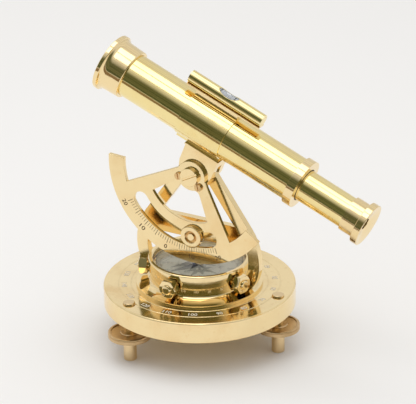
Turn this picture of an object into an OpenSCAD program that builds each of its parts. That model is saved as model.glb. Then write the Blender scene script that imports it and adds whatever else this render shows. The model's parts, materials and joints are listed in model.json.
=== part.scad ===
// Brass alidade. A telescope with a spirit level rides in a fork over an arc
// that reads its tilt. The fork turns on a flat standing frame, the frame stands
// on a compass box, and the box swivels on a round base with three screws.
// Millimetres. +Z is up, and the origin is on the base's axis at the table.
// +X is the way the eyepiece points, and -Y is the side the arc is on.

/* [Base] */
// Radius of the round base
base_r = 50; // [48:0.5:54]
// Height of the base's underside over the table
base_z = 20.1; // [18:0.1:22]
// Thickness of the base
base_t = 11.3; // [10:0.1:13]
// Height of the base's bevelled edges
base_bevel = 0.6; // [0.2:0.1:1.2]
// Distance of the outer engraved circle in from the screws' circle
scale_out_in = 2.25; // [2:0.05:3]
// Distance of the inner engraved circle out from the compass box's flange
scale_in_out = 2.6; // [1.5:0.05:3]
// Width of an engraved circle
scale_w = 0.5; // [0.3:0.05:0.8]
// Depth of an engraved circle
scale_deep = 0.25; // [0.1:0.05:0.4]

/* [Levelling screws] */
// Distance of the three screws' axes in from the base's rim
screw_in = 5.7; // [5:0.1:7]
// Bearing of the first screw from +X
screw_bearing = 4.6; // [0:0.2:20]
// Radius of a screw's stem
stem_r = 3.1; // [2.5:0.1:3.2]
// Radius of a screw's foot, under its wheel
stem_foot_r = 3.4; // [3.3:0.05:4]
// How far a stem stands over the base's top
stem_proud = 1.05; // [0.5:0.05:2]
// Radius of a screw's wheel
wheel_r = 11.25; // [9:0.05:12]
// Height of a wheel's lower face over the table
wheel_z = 12.7; // [10:0.1:14]
// Thickness of a wheel
wheel_t = 3.1; // [2.5:0.1:4]
// Height of a wheel's bevelled edges
wheel_bevel = 0.5; // [0.2:0.1:1]

/* [Compass box] */
// Radius of the box's flange
flange_r = 33; // [32:0.1:34]
// Thickness of the flange at its rim
flange_t = 1.6; // [1.4:0.1:2.2]
// Radius of the box's wall
wall_r = 26; // [25.5:0.1:26.5]
// Height of the wall's foot over the base, where the cove ends
cove_t = 3.8; // [3:0.1:4.5]
// Height of the wall's top over the base
wall_h = 11.2; // [11:0.1:12.5]
// Thickness of the wall
wall_t = 1.05; // [0.9:0.05:1.2]
// Thickness of the box's floor
floor_t = 3.2; // [2.5:0.1:3.6]
// Height over the base of the ledge that the bowl sits on
ledge_h = 5; // [4.8:0.1:5.4]
// Radius inside the ledge
ledge_r = 22; // [18:0.5:23]
// Radius of the bezel ring
bezel_r = 26.5; // [26:0.1:27.2]
// Height of the bezel ring
bezel_h = 3.7; // [3:0.1:3.9]
// Radius of the opening in the bezel ring
bezel_hole_r = 24.05; // [23:0.05:24.3]
// Height of the bezel ring's seat for the glass
bezel_seat_h = 2; // [1.8:0.1:2.2]
// Bevel at the top of the bezel ring
bezel_bevel = 0.5; // [0.2:0.1:0.8]
// Thickness of the glass
glass_t = 1.5; // [1.2:0.1:1.6]
// Wall of the compass bowl
bowl_wall = 2; // [1.6:0.1:2.4]
// Floor of the compass bowl
bowl_floor = 1.2; // [1:0.1:1.6]
// Thickness of the dial
dial_t = 0.8; // [0.5:0.1:1]
// Radius of the hole in the dial
dial_hole_r = 1.6; // [1.5:0.1:2.5]

/* [Needle] */
// Length of the needle from its middle to a tip
needle_l = 17; // [14:0.5:19]
// Half the needle's width at its middle
needle_w = 2.6; // [1.8:0.1:3.2]
// Thickness of the needle
needle_t = 0.5; // [0.4:0.1:0.8]
// Bearing of the needle's visible tip from +X
needle_bearing = -123; // [-180:1:180]
// Height of the needle over the dial
needle_up = 2.4; // [2:0.1:2.8]
// Radius of the needle's cap
cap_r = 1.9; // [1.5:0.1:2.4]
// Radius of the pin that the cap turns on
pin_r = 0.7; // [0.5:0.05:0.9]

/* [Box nuts] */
// Bearings of the four studs in the box's wall from +X
nut_bearings = [-14, -93, -161, 90];
// Height of the studs over the base
nut_h = 8; // [7.8:0.1:8.2]
// Radius of a stud
stud_r = 2.6; // [2:0.1:2.8]
// Radius of a stud's shoulder between the wall and its nut
shoulder_r = 3; // [2.8:0.1:3.2]
// Thickness of a stud's shoulder
shoulder_t = 1; // [0.8:0.1:1.2]
// Radius of a nut over its corners
nut_r = 5.2; // [4.4:0.1:5.3]
// Thickness of a nut
nut_t = 4.4; // [4:0.1:5]
// How far a stud stands out of its nut
stud_end = 0.9; // [0.5:0.1:1.5]

/* [Frame] */
// Thickness of the standing frame
frame_t = 3.7; // [3:0.1:4]
// Height of the tilt axis over the table
pivot_z = 94.1; // [92:0.1:96]
// Radius of the frame's round top
apex_r = 9.2; // [8:0.1:9.3]
// Width of a leg, seen from the front
leg_w = 6.5; // [5.5:0.1:7]
// Lean of a leg's straight part from upright
leg_lean = 35.3; // [34:0.1:37]
// Half the width over both legs
leg_span = 36.2; // [35.5:0.1:37]
// Least gap between the bezel ring and a leg
leg_clear = 0.6; // [0.3:0.1:1]
// Radius of the outer bend where a leg turns upright
leg_bend_r = 31; // [28:0.5:33]
// Height where a leg starts to curve in to its foot
foot_bend_z = 48; // [47:0.5:48.5]
// Radius of the outer bend above a foot
foot_bend_r = 21; // [20:0.5:23]
// Gap between the compass box's wall and each foot
foot_clear = 0.5; // [0.3:0.1:1]
// Least width of a foot
foot_w = 3.3; // [3:0.1:3.3]
// Height of the crossbar's lower edge over the table
bar_z = 56.5; // [55:0.1:58]
// Height of the crossbar's upper edge over the table
bar_top_z = 67.9; // [66:0.1:69]
// Radius of a foot's screw
foot_screw_r = 1.2; // [1:0.1:1.4]
// Radius of a foot screw's sunk head
foot_head_r = 2.2; // [2:0.1:2.4]
// Length of a foot's screw
foot_screw_l = 7; // [5:0.5:9]

/* [Tilt axis] */
// Radius of the pivot screw
pivot_r = 3; // [2.5:0.1:3.2]
// Radius of the pivot screw's head
pivot_head_r = 4.9; // [4.5:0.1:4.9]
// Height of the pivot screw's head
pivot_head_h = 2.5; // [2:0.1:3.5]
// Radius of the pivot nut over its corners
pivot_nut_r = 5.6; // [5:0.1:6.5]
// Thickness of the pivot nut
pivot_nut_t = 4; // [3:0.1:5]
// Thickness of the washer under the pivot nut
pivot_washer_t = 1; // [0.6:0.1:1.5]
// Radius of the washer under the pivot nut
pivot_washer_r = 6.2; // [5.8:0.1:7]
// How far the pivot screw stands out of its nut
pivot_end = 1.2; // [0.5:0.1:2]

/* [Fork] */
// Half the fork's width along the telescope
fork_w = 9.9; // [9.5:0.1:10.3]
// Half the fork's depth across the frame
fork_d = 5.8; // [5.4:0.1:6.2]
// Height of the fork's top over the tilt axis
fork_top = 13.7; // [13.4:0.1:14]
// Height of the fork's slot over the tilt axis
fork_slot = 9.5; // [9.4:0.1:9.9]
// Radius of the fork's lower end
fork_end_r = 8.6; // [8.4:0.1:9]
// Height over the tilt axis where the fork starts to taper
fork_taper = 4; // [2:0.5:6]
// Gap between the fork and each face of the frame
fork_gap = 0.1; // [0.05:0.05:0.2]

/* [Arc] */
// Outer radius of the arc
arc_r = 48.6; // [47.5:0.1:48.8]
// Inner radius of the arc's numbered band
arc_band_r = 39.5; // [39:0.1:40]
// Inner radius of the arc's slot
arc_slot_r = 31.1; // [30.8:0.1:31.4]
// Inner radius of the arc's inner band
arc_in_r = 25.8; // [25:0.1:27]
// Thickness of the arc
arc_t = 2; // [1.6:0.1:2.4]
// Half the angle over the arc's two horns
horn_angle = 73.3; // [70:0.1:76]
// Half the angle between the centres of the slot's round ends
slot_angle = 37.3; // [36:0.1:38.5]
// Lean of each spoke's outer edge from the arc's middle
spoke_angle = 45; // [43:0.5:47]
// Distance of each spoke's outer edge from the tilt axis
spoke_off = 6.4; // [6:0.1:7]
// Lean of each spoke's inner edge from the arc's middle
window_angle = 37.5; // [36:0.5:39]
// Distance of each spoke's inner edge from the tilt axis
window_off = 1.7; // [1.4:0.1:2]
// Radius of the arc's boss
boss_r = 8.04; // [7.8:0.02:8.4]
// Round of the corners where the spokes leave the boss
arc_fillet = 3; // [1:0.5:4]
// Turn of the arc from square with the telescope
arc_skew = 2.33; // [0:0.01:4]
// Distance of the arc's screws from the tilt axis
arc_screw_off = 7; // [6.9:0.1:7.1]
// Angle of each of the arc's screws from the arc's middle
arc_screw_angle = 62; // [58:1:66]
// Radius of an arc screw's head
arc_head_r = 2; // [1.6:0.1:2.1]
// Height of an arc screw's head
arc_head_h = 1.4; // [1:0.1:2]
// Radius of an arc screw
arc_screw_r = 1.1; // [0.8:0.1:1.2]

/* [Clamp] */
// Place of the clamp stud along X
clamp_x = 0.8; // [0:0.1:1]
// Distance of the clamp stud below the tilt axis
clamp_down = 33.2; // [33.1:0.05:33.4]
// Radius of the clamp stud
clamp_r = 1.95; // [1.8:0.05:2]
// Radius of the clamp knob
knob_r = 6.1; // [5.5:0.1:6.3]
// Thickness of the clamp knob
knob_t = 2.7; // [2.4:0.1:4]
// Radius of the hollow in the clamp knob's face
knob_dish_r = 3.3; // [3:0.1:3.6]
// Depth of the hollow in the clamp knob's face
knob_dish_t = 1; // [0.6:0.1:1.2]
// Radius of the collar between the frame and the arc
collar_r = 5.2; // [4.5:0.1:5.5]

/* [Telescope] */
// Tilt of the telescope, eyepiece down
tilt = 22.37; // [0:0.01:35]
// Height of the telescope's axis over the tilt axis
tube_b = 27.56; // [27:0.02:28.2]
// Radius of the main tube
tube_r = 11.75; // [11.4:0.05:12]
// Wall of the main tube
tube_wall = 0.9; // [0.7:0.1:1.1]
// Radius of the clamp sleeve
sleeve_r = 12.35; // [12.3:0.05:12.6]
// Length of the clamp sleeve on the objective's side of the tilt axis
sleeve_front = 16.8; // [15:0.1:18]
// Length of the clamp sleeve on the eyepiece's side of the tilt axis
sleeve_back = 9.5; // [9:0.1:11]
// Half the width of the sleeve's pad
pad_w = 4.5; // [4:0.1:5.5]
// Half the length of the plate between the fork and the sleeve
saddle_l = 10.4; // [10:0.1:11]
// Thickness of the plate between the fork and the sleeve
saddle_t = 0.86; // [0.7:0.02:1]
// Distance of each saddle screw from the tilt axis
saddle_screw_x = 6; // [5:0.5:7]
// Radius of a saddle screw's sunk head
saddle_head_r = 1.8; // [1.6:0.1:2]
// Depth of a saddle screw's sunk head
saddle_head_h = 0.9; // [0.7:0.1:1.2]
// How far a saddle screw reaches into the sleeve's pad
saddle_grip = 1; // [0.6:0.1:1.1]
// Distance of the tube's eyepiece end from the tilt axis
tube_back = 50; // [48:0.5:52]
// Distance of the end ring's face from the tilt axis
ring_back = 54.8; // [54:0.1:56]
// Radius of the end ring
ring_r = 13.1; // [12.6:0.1:13.5]
// Length of the end ring's plug inside the tube
ring_plug = 6; // [4:0.5:8]

/* [Objective] */
// Distance of the objective cell's skirt from the tilt axis
cell_back = 52.4; // [51:0.1:54]
// Distance of the objective cell's shoulder from the tilt axis
cell_mid = 60.8; // [60:0.1:61.5]
// Distance of the objective's rim from the tilt axis
cell_front = 66.5; // [66:0.1:67]
// Radius of the objective cell's skirt
cell_r = 13.25; // [13:0.05:13.5]
// Radius of the objective's rim
rim_r = 15.4; // [15:0.1:15.8]
// Width of the objective's rim band
rim_w = 2.4; // [2:0.1:2.6]
// Radius of the objective's clear opening
lens_open_r = 10.4; // [10:0.1:10.6]
// Radius of the objective lens
lens_r = 12; // [11.6:0.1:12.2]
// Edge thickness of the objective lens
lens_t = 2.2; // [1.8:0.1:2.6]
// Radius of the curve of the objective lens
lens_curve_r = 75; // [60:5:120]
// Thickness of the ring that keeps the objective lens in
lens_ring_t = 0.8; // [0.6:0.1:1.2]

/* [Draw tube] */
// Radius of the draw tube
draw_r = 8.4; // [8:0.1:8.6]
// Wall of the draw tube
draw_wall = 0.8; // [0.6:0.1:1]
// Distance of the draw tube's inner end from the tilt axis
draw_front = 28; // [26:0.5:30]
// Distance of the draw tube's outer end from the tilt axis
draw_back = 86; // [85:0.5:88]
// Length of the ring that guides the draw tube's inner end
guide_l = 6; // [4:0.5:8]
// Distance of the eyepiece cell's front from the tilt axis
eye_front = 82; // [81:0.1:83]
// Radius of the eyepiece cell
eye_r = 9.4; // [9:0.1:9.8]
// Distance of the eye cup's front from the tilt axis
cup_front = 90; // [89:0.1:91]
// Distance of the eye cup's outer face from the tilt axis
cup_back = 93.85; // [93:0.05:94.5]
// Radius of the eye cup
cup_r = 11.4; // [11:0.1:11.8]
// Depth of the eye cup's fit on the eyepiece cell
cup_fit = 1.2; // [0.8:0.1:1.4]
// Width of the eye cup's flat lip
cup_lip = 0.8; // [0.5:0.1:1.5]
// Depth of the hollow in the eye cup's face
cup_deep = 1.8; // [1.5:0.1:2.3]
// Radius of the eye hole
eye_hole_r = 3; // [2:0.1:4]
// Radius of the eyepiece lens
eye_lens_r = 6.6; // [6:0.1:7]
// Edge thickness of the eyepiece lens
eye_lens_t = 1.6; // [1.2:0.1:2]
// Length of the eyepiece lens's seat in its cell
eye_seat_l = 3.8; // [3.7:0.1:4.2]
// Radius of the curve of the eyepiece lens
eye_curve_r = 22; // [18:1:30]

/* [Spirit level] */
// Distance of the level's axis from the telescope's axis
level_b = 19.1; // [19:0.05:19.5]
// Radius of the level's brass tube
level_r = 3.4; // [3.2:0.1:3.6]
// Length of the level on the objective's side of the tilt axis
level_front = 22.6; // [22:0.1:23]
// Length of the level on the eyepiece's side of the tilt axis
level_back = 21.9; // [21:0.1:23]
// Radius of the glass vial
vial_r = 2.4; // [2:0.1:2.5]
// Half the length of the glass vial
vial_l = 14; // [10:0.5:16]
// Half the length of the window cut in the level's tube
window_l = 6.55; // [6:0.05:7]
// Depth of the window cut in the level's tube
window_deep = 1.6; // [1.2:0.1:1.8]
// Half the width of the rail under the level
rail_w = 2.8; // [2.4:0.1:3.2]
// Thickness of the rail under the level
rail_t = 0.9; // [0.8:0.1:1.2]
// Half the width of the block that carries the rail
post_w = 2; // [1.6:0.1:2.4]
// Distance of the block's ends in from the sleeve's ends
post_in = 0.3; // [0.1:0.1:1]
// How far the block's flanks reach down beside the sleeve's top
post_sunk = 1; // [0.5:0.1:1.5]

/* [Swivel] */
// Radius of the swivel bolt
swivel_r = 4; // [3:0.1:5]
// Radius of the swivel bolt's head
swivel_head_r = 7; // [6:0.1:8]
// Height of the swivel bolt's head
swivel_head_h = 1.5; // [1.2:0.1:1.7]
// Radius of the washer under the base
swivel_washer_r = 8.5; // [7:0.1:10]
// Thickness of the washer under the base
swivel_washer_t = 1.2; // [0.8:0.1:1.6]
// Radius of the swivel nut over its corners
swivel_nut_r = 7.5; // [6.5:0.1:8]
// Thickness of the swivel nut
swivel_nut_t = 5; // [4:0.1:6]

/* [Fits] */
// Radial gap round a shaft that turns or slides
run_gap = 0.05; // [0.03:0.01:0.08]
// Radial gap round a piece that sits in another
seat_gap = 0.02; // [0.01:0.01:0.05]
// Width of a screw's slot
slot_w = 1; // [0.6:0.1:1.2]
// Depth of a screw's slot
slot_deep = 0.7; // [0.4:0.1:0.9]

/* [Hidden] */
$fn = 96;
base_top = base_z + base_t;
screw_circle_r = base_r - screw_in;
scale_out_r = screw_circle_r - scale_out_in;
scale_in_r = flange_r + scale_in_out;
wall_top = base_top + wall_h;
floor_top = base_top + floor_t;
bowl_z = base_top + ledge_h;
bowl_r = wall_r - wall_t - 2 * seat_gap;
bowl_top = wall_top + bezel_seat_h - glass_t;
glass_r = bowl_r;
dial_r = bowl_r - bowl_wall - seat_gap;
dial_z = bowl_z + bowl_floor;
needle_z = dial_z + dial_t + needle_up;
pin_top = needle_z + needle_t + 0.3;
nut_z = base_top + nut_h;
nut_from = wall_r + shoulder_t;
foot_z = base_top + flange_t;
foot_gap = wall_r + foot_clear;
foot_rise = foot_bend_z - foot_z;
foot_lean = leg_span - foot_gap - foot_w;
low_bend_r = max(foot_bend_r, (pow(foot_rise, 2) + pow(foot_lean, 2)) / (2 * foot_lean));
foot_out_x = leg_span - low_bend_r + sqrt(pow(low_bend_r, 2) - pow(foot_rise, 2));
foot_x = (foot_gap + foot_out_x) / 2;
arc_back = -fork_d;
arc_face = arc_back - arc_t;
arc_mid_r = (arc_band_r + arc_slot_r) / 2;
arc_slot_w = (arc_band_r - arc_slot_r) / 2;
pivot_back = fork_d + pivot_washer_t + pivot_nut_t + pivot_end;
clamp_z = pivot_z - clamp_down;
tube_in = tube_r - tube_wall;
draw_in = draw_r - draw_wall;
lens_swell = sqrt(pow(lens_curve_r, 2) - pow(lens_open_r, 2)) - sqrt(pow(lens_curve_r, 2) - pow(lens_r, 2));
lens_half = lens_t / 2 + lens_swell + run_gap;
lens_seat = -cell_mid - 0.1;
lens_x = lens_seat - lens_half;
pad_b = tube_b - fork_top - saddle_t;
rail_b = level_b - level_r + 0.2;
swivel_low = base_z - swivel_washer_t - swivel_nut_t - 1;

// A round bar along X from x0 to x1
module bar_x(r, x0, x1) {
    translate([x0, 0, 0]) rotate([0, 90, 0]) cylinder(r = r, h = x1 - x0);
}

// A round bar along Y from y0 to y1
module bar_y(r, y0, y1) {
    translate([0, y0, 0]) rotate([-90, 0, 0]) cylinder(r = r, h = y1 - y0);
}

// A round bar along Z from z0 to z1
module bar_z(r, z0, z1) {
    translate([0, 0, z0]) cylinder(r = r, h = z1 - z0);
}

// A pipe along X from x0 to x1
module pipe_x(r_out, r_in, x0, x1) {
    difference() {
        bar_x(r_out, x0, x1);
        bar_x(r_in, x0 - 1, x1 + 1);
    }
}

// A ring along Y from y0 to y1
module pipe_y(r_out, r_in, y0, y1) {
    difference() {
        bar_y(r_out, y0, y1);
        bar_y(r_in, y0 - 1, y1 + 1);
    }
}

// A ring along Z from z0 to z1
module pipe_z(r_out, r_in, z0, z1) {
    difference() {
        bar_z(r_out, z0, z1);
        bar_z(r_in, z0 - 1, z1 + 1);
    }
}

// A disc along Z with a bevel of height b at both edges
module bevelled_disc(r, z0, z1, b) {
    rotate_extrude() polygon([[0, z0], [r - b, z0], [r, z0 + b], [r, z1 - b], [r - b, z1], [0, z1]]);
}

// A plate of the children's outline, drawn in X and Z, from y0 back to y1
module plate_y(y0, y1) {
    translate([0, y1, 0]) rotate([90, 0, 0]) linear_extrude(y1 - y0) children();
}

// The tilt axis as the origin, in the frame's own directions
module at_pivot() {
    translate([0, 0, pivot_z]) children();
}

// The tilt axis as the origin, with X along the telescope
module tilted() {
    at_pivot() rotate([0, tilt, 0]) children();
}

// The telescope's axis as X, with the origin over the tilt axis
module on_axis() {
    tilted() translate([0, 0, tube_b]) children();
}

// The tilt axis as the origin, with the arc's middle straight down
module on_arc() {
    at_pivot() rotate([0, tilt - arc_skew, 0]) children();
}

// A point at radius r and angle a from straight down
function arc_point(r, a) = [r * sin(a), -r * cos(a)];

// Points along a bend of radius r round c, from angle a0 to a1
function bend(c, r, a0, a1, steps = 6) = [
    for (i = [0:steps]) let (a = a0 + (a1 - a0) * i / steps) c + r * [cos(a), sin(a)]
];

// The angle of a point, seen from the origin
function bearing_of(p) = atan2(p[1], p[0]);

// An outline that is the same on both sides, from its right half and what joins the halves
module both_sides(half, top = []) {
    left = [for (i = [len(half) - 1:-1:0]) [-half[i][0], half[i][1]]];
    polygon(concat(half, top, left));
}

// The three levelling screws' places
module at_screw(i) {
    rotate([0, 0, screw_bearing + 120 * (i - 1)]) translate([screw_circle_r, 0, 0]) children();
}

// The box studs' places, with X pointing outwards
module at_studs() {
    for (bearing = nut_bearings) rotate([0, 0, bearing]) translate([0, 0, nut_z]) children();
}

module base_plate() color("goldenrod") {
    difference() {
        bevelled_disc(base_r, base_z, base_top, base_bevel);
        for (r = [scale_in_r, scale_out_r]) {
            pipe_z(r + scale_w / 2, r - scale_w / 2, base_top - scale_deep, base_top + 1);
        }
        bar_z(swivel_r + run_gap, base_z - 1, base_top + 1);
        for (i = [1:3]) at_screw(i) bar_z(stem_r + run_gap, base_z - 1, base_top + 1);
    }
}

module levelling_stem(i) color("darkgoldenrod") {
    at_screw(i) {
        bevelled_disc(stem_foot_r, 0, wheel_z - run_gap, 0.3);
        bevelled_disc(stem_r, wheel_z - 1, base_top + stem_proud, 0.3);
    }
}

module levelling_wheel(i) color("darkgoldenrod") {
    at_screw(i) difference() {
        bevelled_disc(wheel_r, wheel_z, wheel_z + wheel_t, wheel_bevel);
        bar_z(stem_r + run_gap, wheel_z - 1, wheel_z + wheel_t + 1);
    }
}

module swivel_bolt() color("goldenrod") {
    bar_z(swivel_head_r, floor_top, floor_top + swivel_head_h);
    bar_z(swivel_r, swivel_low, floor_top);
}

module swivel_washer() color("goldenrod") {
    pipe_z(swivel_washer_r, swivel_r + seat_gap, base_z - swivel_washer_t, base_z);
}

module swivel_nut() color("goldenrod") {
    low = base_z - swivel_washer_t - swivel_nut_t;
    difference() {
        translate([0, 0, low]) cylinder(r = swivel_nut_r, h = swivel_nut_t, $fn = 6);
        bar_z(swivel_r + seat_gap, low - 1, base_z);
    }
}

// Outline of the compass box's outside, with the cove as a quarter ellipse
function cove_point(a) = [
    flange_r - (flange_r - wall_r) * sin(a),
    base_top + cove_t - (cove_t - flange_t) * cos(a)
];

module compass_box() color("gold") {
    difference() {
        rotate_extrude() polygon(concat(
            [[0, base_top], [flange_r, base_top]],
            [for (a = [0:9:90]) cove_point(a)],
            [[wall_r, wall_top], [0, wall_top]]
        ));
        bar_z(wall_r - wall_t, bowl_z, wall_top + 1);
        bar_z(ledge_r, floor_top, wall_top);
        bar_z(swivel_r + seat_gap, base_top - 1, floor_top + 1);
        at_studs() bar_x(stud_r + seat_gap, ledge_r, wall_r + 2);
        for (side = [0, 180]) rotate([0, 0, side]) {
            translate([foot_gap - 0.3, -frame_t / 2 - 0.05, foot_z]) cube([flange_r, frame_t + 0.1, cove_t]);
            translate([foot_x, 0, 0]) {
                bar_z(foot_screw_r + seat_gap, base_top - 1, foot_z + 1);
                foot_head_cone(seat_gap);
            }
        }
    }
}

// The sunk head of a foot's screw, grown by a gap
module foot_head_cone(gap) {
    deep = 1;
    translate([0, 0, base_top]) cylinder(r1 = foot_head_r + gap, r2 = foot_screw_r + gap, h = deep);
}

module compass_bowl() color("goldenrod") {
    difference() {
        bar_z(bowl_r, bowl_z, bowl_top);
        bar_z(bowl_r - bowl_wall, dial_z, bowl_top + 1);
        bar_z(pin_r + seat_gap, bowl_z - 1, dial_z + 1);
        at_studs() bar_x(stud_r + seat_gap, bowl_r - bowl_wall - 2, wall_r);
    }
}

module compass_dial() color("lightgray") {
    pipe_z(dial_r, dial_hole_r, dial_z, dial_z + dial_t);
}

module needle_pin() color("silver") {
    shank_top = pin_top - 1.4;
    bar_z(pin_r, bowl_z, shank_top);
    translate([0, 0, shank_top]) cylinder(r1 = pin_r, r2 = 0.1, h = 1.4);
}

module compass_needle() color("dimgray") {
    half = [[cap_r - 0.3, needle_w], [needle_l, 0], [cap_r - 0.3, -needle_w]];
    translate([0, 0, needle_z]) rotate([0, 0, needle_bearing]) difference() {
        linear_extrude(needle_t) polygon(concat(half, [for (p = half) -p]));
        bar_z(cap_r - 0.6 + seat_gap, -1, needle_t + 1);
    }
}

module needle_cap() color("goldenrod") {
    neck_r = cap_r - 0.6;
    difference() {
        union() {
            bar_z(neck_r, needle_z - 0.6, needle_z + needle_t);
            bar_z(cap_r, needle_z + needle_t, needle_z + needle_t + 0.9);
        }
        bar_z(pin_r + run_gap, needle_z - 1, pin_top + 0.05);
    }
}

module compass_glass() color("lightblue", 0.35) {
    bar_z(glass_r, bowl_top, bowl_top + glass_t);
}

module bezel_ring() color("gold") {
    seat_r = glass_r + seat_gap;
    seat_z = wall_top + bezel_seat_h;
    top = wall_top + bezel_h;
    rotate_extrude() polygon([
        [seat_r, wall_top], [bezel_r, wall_top], [bezel_r, top - bezel_bevel],
        [bezel_r - bezel_bevel, top], [bezel_hole_r + bezel_bevel, top],
        [bezel_hole_r, top - bezel_bevel], [bezel_hole_r, seat_z], [seat_r, seat_z]
    ]);
}

module box_studs() color("goldenrod") {
    end = nut_from + nut_t + stud_end;
    at_studs() {
        bar_x(stud_r, bowl_r - bowl_wall + 0.3, end - 0.4);
        bar_x(shoulder_r, wall_r, nut_from);
        translate([end - 0.4, 0, 0]) rotate([0, 90, 0]) cylinder(r1 = stud_r, r2 = stud_r - 0.6, h = 0.4);
    }
}

module box_nuts() color("goldenrod") {
    at_studs() difference() {
        translate([nut_from, 0, 0]) rotate([0, 90, 0]) cylinder(r = nut_r, h = nut_t, $fn = 6);
        bar_x(stud_r + seat_gap, nut_from - 1, nut_from + nut_t + 1);
    }
}

// The room that the compass box takes between the legs, seen from the front
module box_room() {
    bezel_gap = bezel_r + leg_clear;
    translate([-foot_gap, foot_z - 1]) square([2 * foot_gap, wall_top - foot_z + 1]);
    translate([-bezel_gap, wall_top - leg_clear]) square([2 * bezel_gap, bezel_h + 2 * leg_clear]);
}

// The frame seen from the front: its silhouette less the gap between the legs,
// which the crossbar parts into a window above and an arch below
module frame_outline() {
    apex = [0, pivot_z];
    drop = (pivot_z - foot_bend_z) * sin(leg_lean) + apex_r - leg_span * cos(leg_lean);
    bend_r = min(leg_bend_r, 0.99 * drop / (1 - cos(leg_lean)));
    bend_x = leg_span - bend_r;
    bend_z = pivot_z + (apex_r - bend_r - bend_x * cos(leg_lean)) / sin(leg_lean);
    foot_c = [leg_span - low_bend_r, foot_bend_z];
    foot_turn = asin(foot_rise / low_bend_r);
    crotch = leg_lean - acos((apex_r - leg_w) / apex_r);
    difference() {
        both_sides(
            concat(bend(foot_c, low_bend_r, -foot_turn, 0), bend([bend_x, bend_z], bend_r, 0, leg_lean)),
            bend(apex, apex_r, leg_lean, 180 - leg_lean, 12)
        );
        difference() {
            both_sides(
                concat(
                    bend(foot_c, low_bend_r - leg_w, -foot_turn, 0),
                    bend([bend_x, bend_z], bend_r - leg_w, 0, leg_lean)
                ),
                bend(apex, apex_r, crotch, -180 - crotch, 12)
            );
            translate([-leg_span, bar_z]) square([2 * leg_span, bar_top_z - bar_z]);
        }
        box_room();
    }
}

module frame() color("gold") {
    difference() {
        plate_y(-frame_t / 2, frame_t / 2) frame_outline();
        at_pivot() bar_y(pivot_r + run_gap, -frame_t, frame_t);
        translate([clamp_x, 0, clamp_z]) bar_y(clamp_r + seat_gap, -frame_t, frame_t);
        for (side = [0, 180]) rotate([0, 0, side]) translate([foot_x, 0, 0]) {
            bar_z(foot_screw_r + seat_gap, foot_z - 1, base_top + foot_screw_l);
        }
    }
}

module frame_screws() color("goldenrod") {
    for (side = [0, 180]) rotate([0, 0, side]) translate([foot_x, 0, 0]) {
        bar_z(foot_screw_r, base_top, base_top + foot_screw_l - 0.2);
        foot_head_cone(0);
    }
}

module clamp_stud() color("goldenrod") {
    translate([clamp_x, 0, clamp_z]) bar_y(clamp_r, arc_face - knob_t + 0.2, frame_t / 2);
}

module clamp_collar() color("goldenrod") {
    translate([clamp_x, 0, clamp_z]) pipe_y(collar_r, clamp_r + seat_gap, arc_back, -frame_t / 2);
}

module clamp_knob() color("gold") {
    face = arc_face - knob_t;
    translate([clamp_x, 0, clamp_z]) difference() {
        bar_y(knob_r, face, arc_face);
        bar_y(knob_dish_r, face - 1, face + knob_dish_t);
        bar_y(clamp_r + run_gap, face - 1, arc_face + 1);
    }
}

module pivot_screw() color("gold") {
    face = arc_face - pivot_head_h;
    tilted() difference() {
        union() {
            bar_y(pivot_head_r, face, arc_face);
            bar_y(pivot_r, arc_face, pivot_back);
        }
        rotate([0, 30, 0]) translate([-pivot_head_r - 1, face - 1, -slot_w / 2]) {
            cube([2 * pivot_head_r + 2, slot_deep + 1, slot_w]);
        }
    }
}

module pivot_washer() color("goldenrod") {
    tilted() pipe_y(pivot_washer_r, pivot_r + seat_gap, fork_d, fork_d + pivot_washer_t);
}

module pivot_nut() color("goldenrod") {
    near = fork_d + pivot_washer_t;
    tilted() difference() {
        translate([0, near, 0]) rotate([-90, 0, 0]) cylinder(r = pivot_nut_r, h = pivot_nut_t, $fn = 6);
        bar_y(pivot_r + seat_gap, near - 1, near + pivot_nut_t + 1);
    }
}

// The fork seen from the front: straight sides, then tangents to its round end
module fork_outline() {
    corner = [fork_w, fork_taper];
    reach = norm(corner);
    touch = atan2(fork_taper, fork_w) - acos(fork_end_r / reach);
    polygon(concat(
        [[-fork_w, fork_top], [fork_w, fork_top], corner],
        bend([0, 0], fork_end_r, touch, -180 - touch, 24),
        [[-fork_w, fork_taper]]
    ));
}

module fork() color("gold") {
    gap = frame_t / 2 + fork_gap;
    tilted() difference() {
        plate_y(-fork_d, fork_d) fork_outline();
        translate([-2 * fork_w, -gap, -2 * fork_w]) cube([4 * fork_w, 2 * gap, 2 * fork_w + fork_slot]);
        bar_y(pivot_r + seat_gap, -2 * fork_d, 2 * fork_d);
        rotate([0, -arc_skew, 0]) at_arc_screws() bar_y(arc_screw_r + seat_gap, arc_back - 1, -gap - 0.4);
        at_saddle_screws() saddle_screw_shape(seat_gap);
    }
}

// The arc's two screws' places, with the arc's middle straight down
module at_arc_screws() {
    for (side = [-1, 1]) {
        p = arc_point(arc_screw_off, side * arc_screw_angle);
        translate([p[0], 0, p[1]]) children();
    }
}

// The point at distance off to the right of a line through the tilt axis that leans
// by angle a from the arc's middle, and at distance far from the tilt axis
function beside(a, off, far) = off * [cos(a), sin(a)] + sqrt(pow(far, 2) - pow(off, 2)) * [sin(a), -cos(a)];

// Outline of the arc without its slot and window: boss, spokes, band and horns
module arc_body() {
    round_c = beside(spoke_angle, spoke_off + arc_fillet, boss_r + arc_fillet);
    corner = beside(spoke_angle, spoke_off, arc_band_r);
    both_sides(concat(
        bend([0, 0], boss_r, 85, bearing_of(round_c)),
        bend(round_c, arc_fillet, bearing_of(round_c) + 180, spoke_angle + 180),
        bend([0, 0], arc_band_r, bearing_of(corner), horn_angle - 90),
        bend([0, 0], arc_r, horn_angle - 90, -89, 30)
    ));
}

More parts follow.
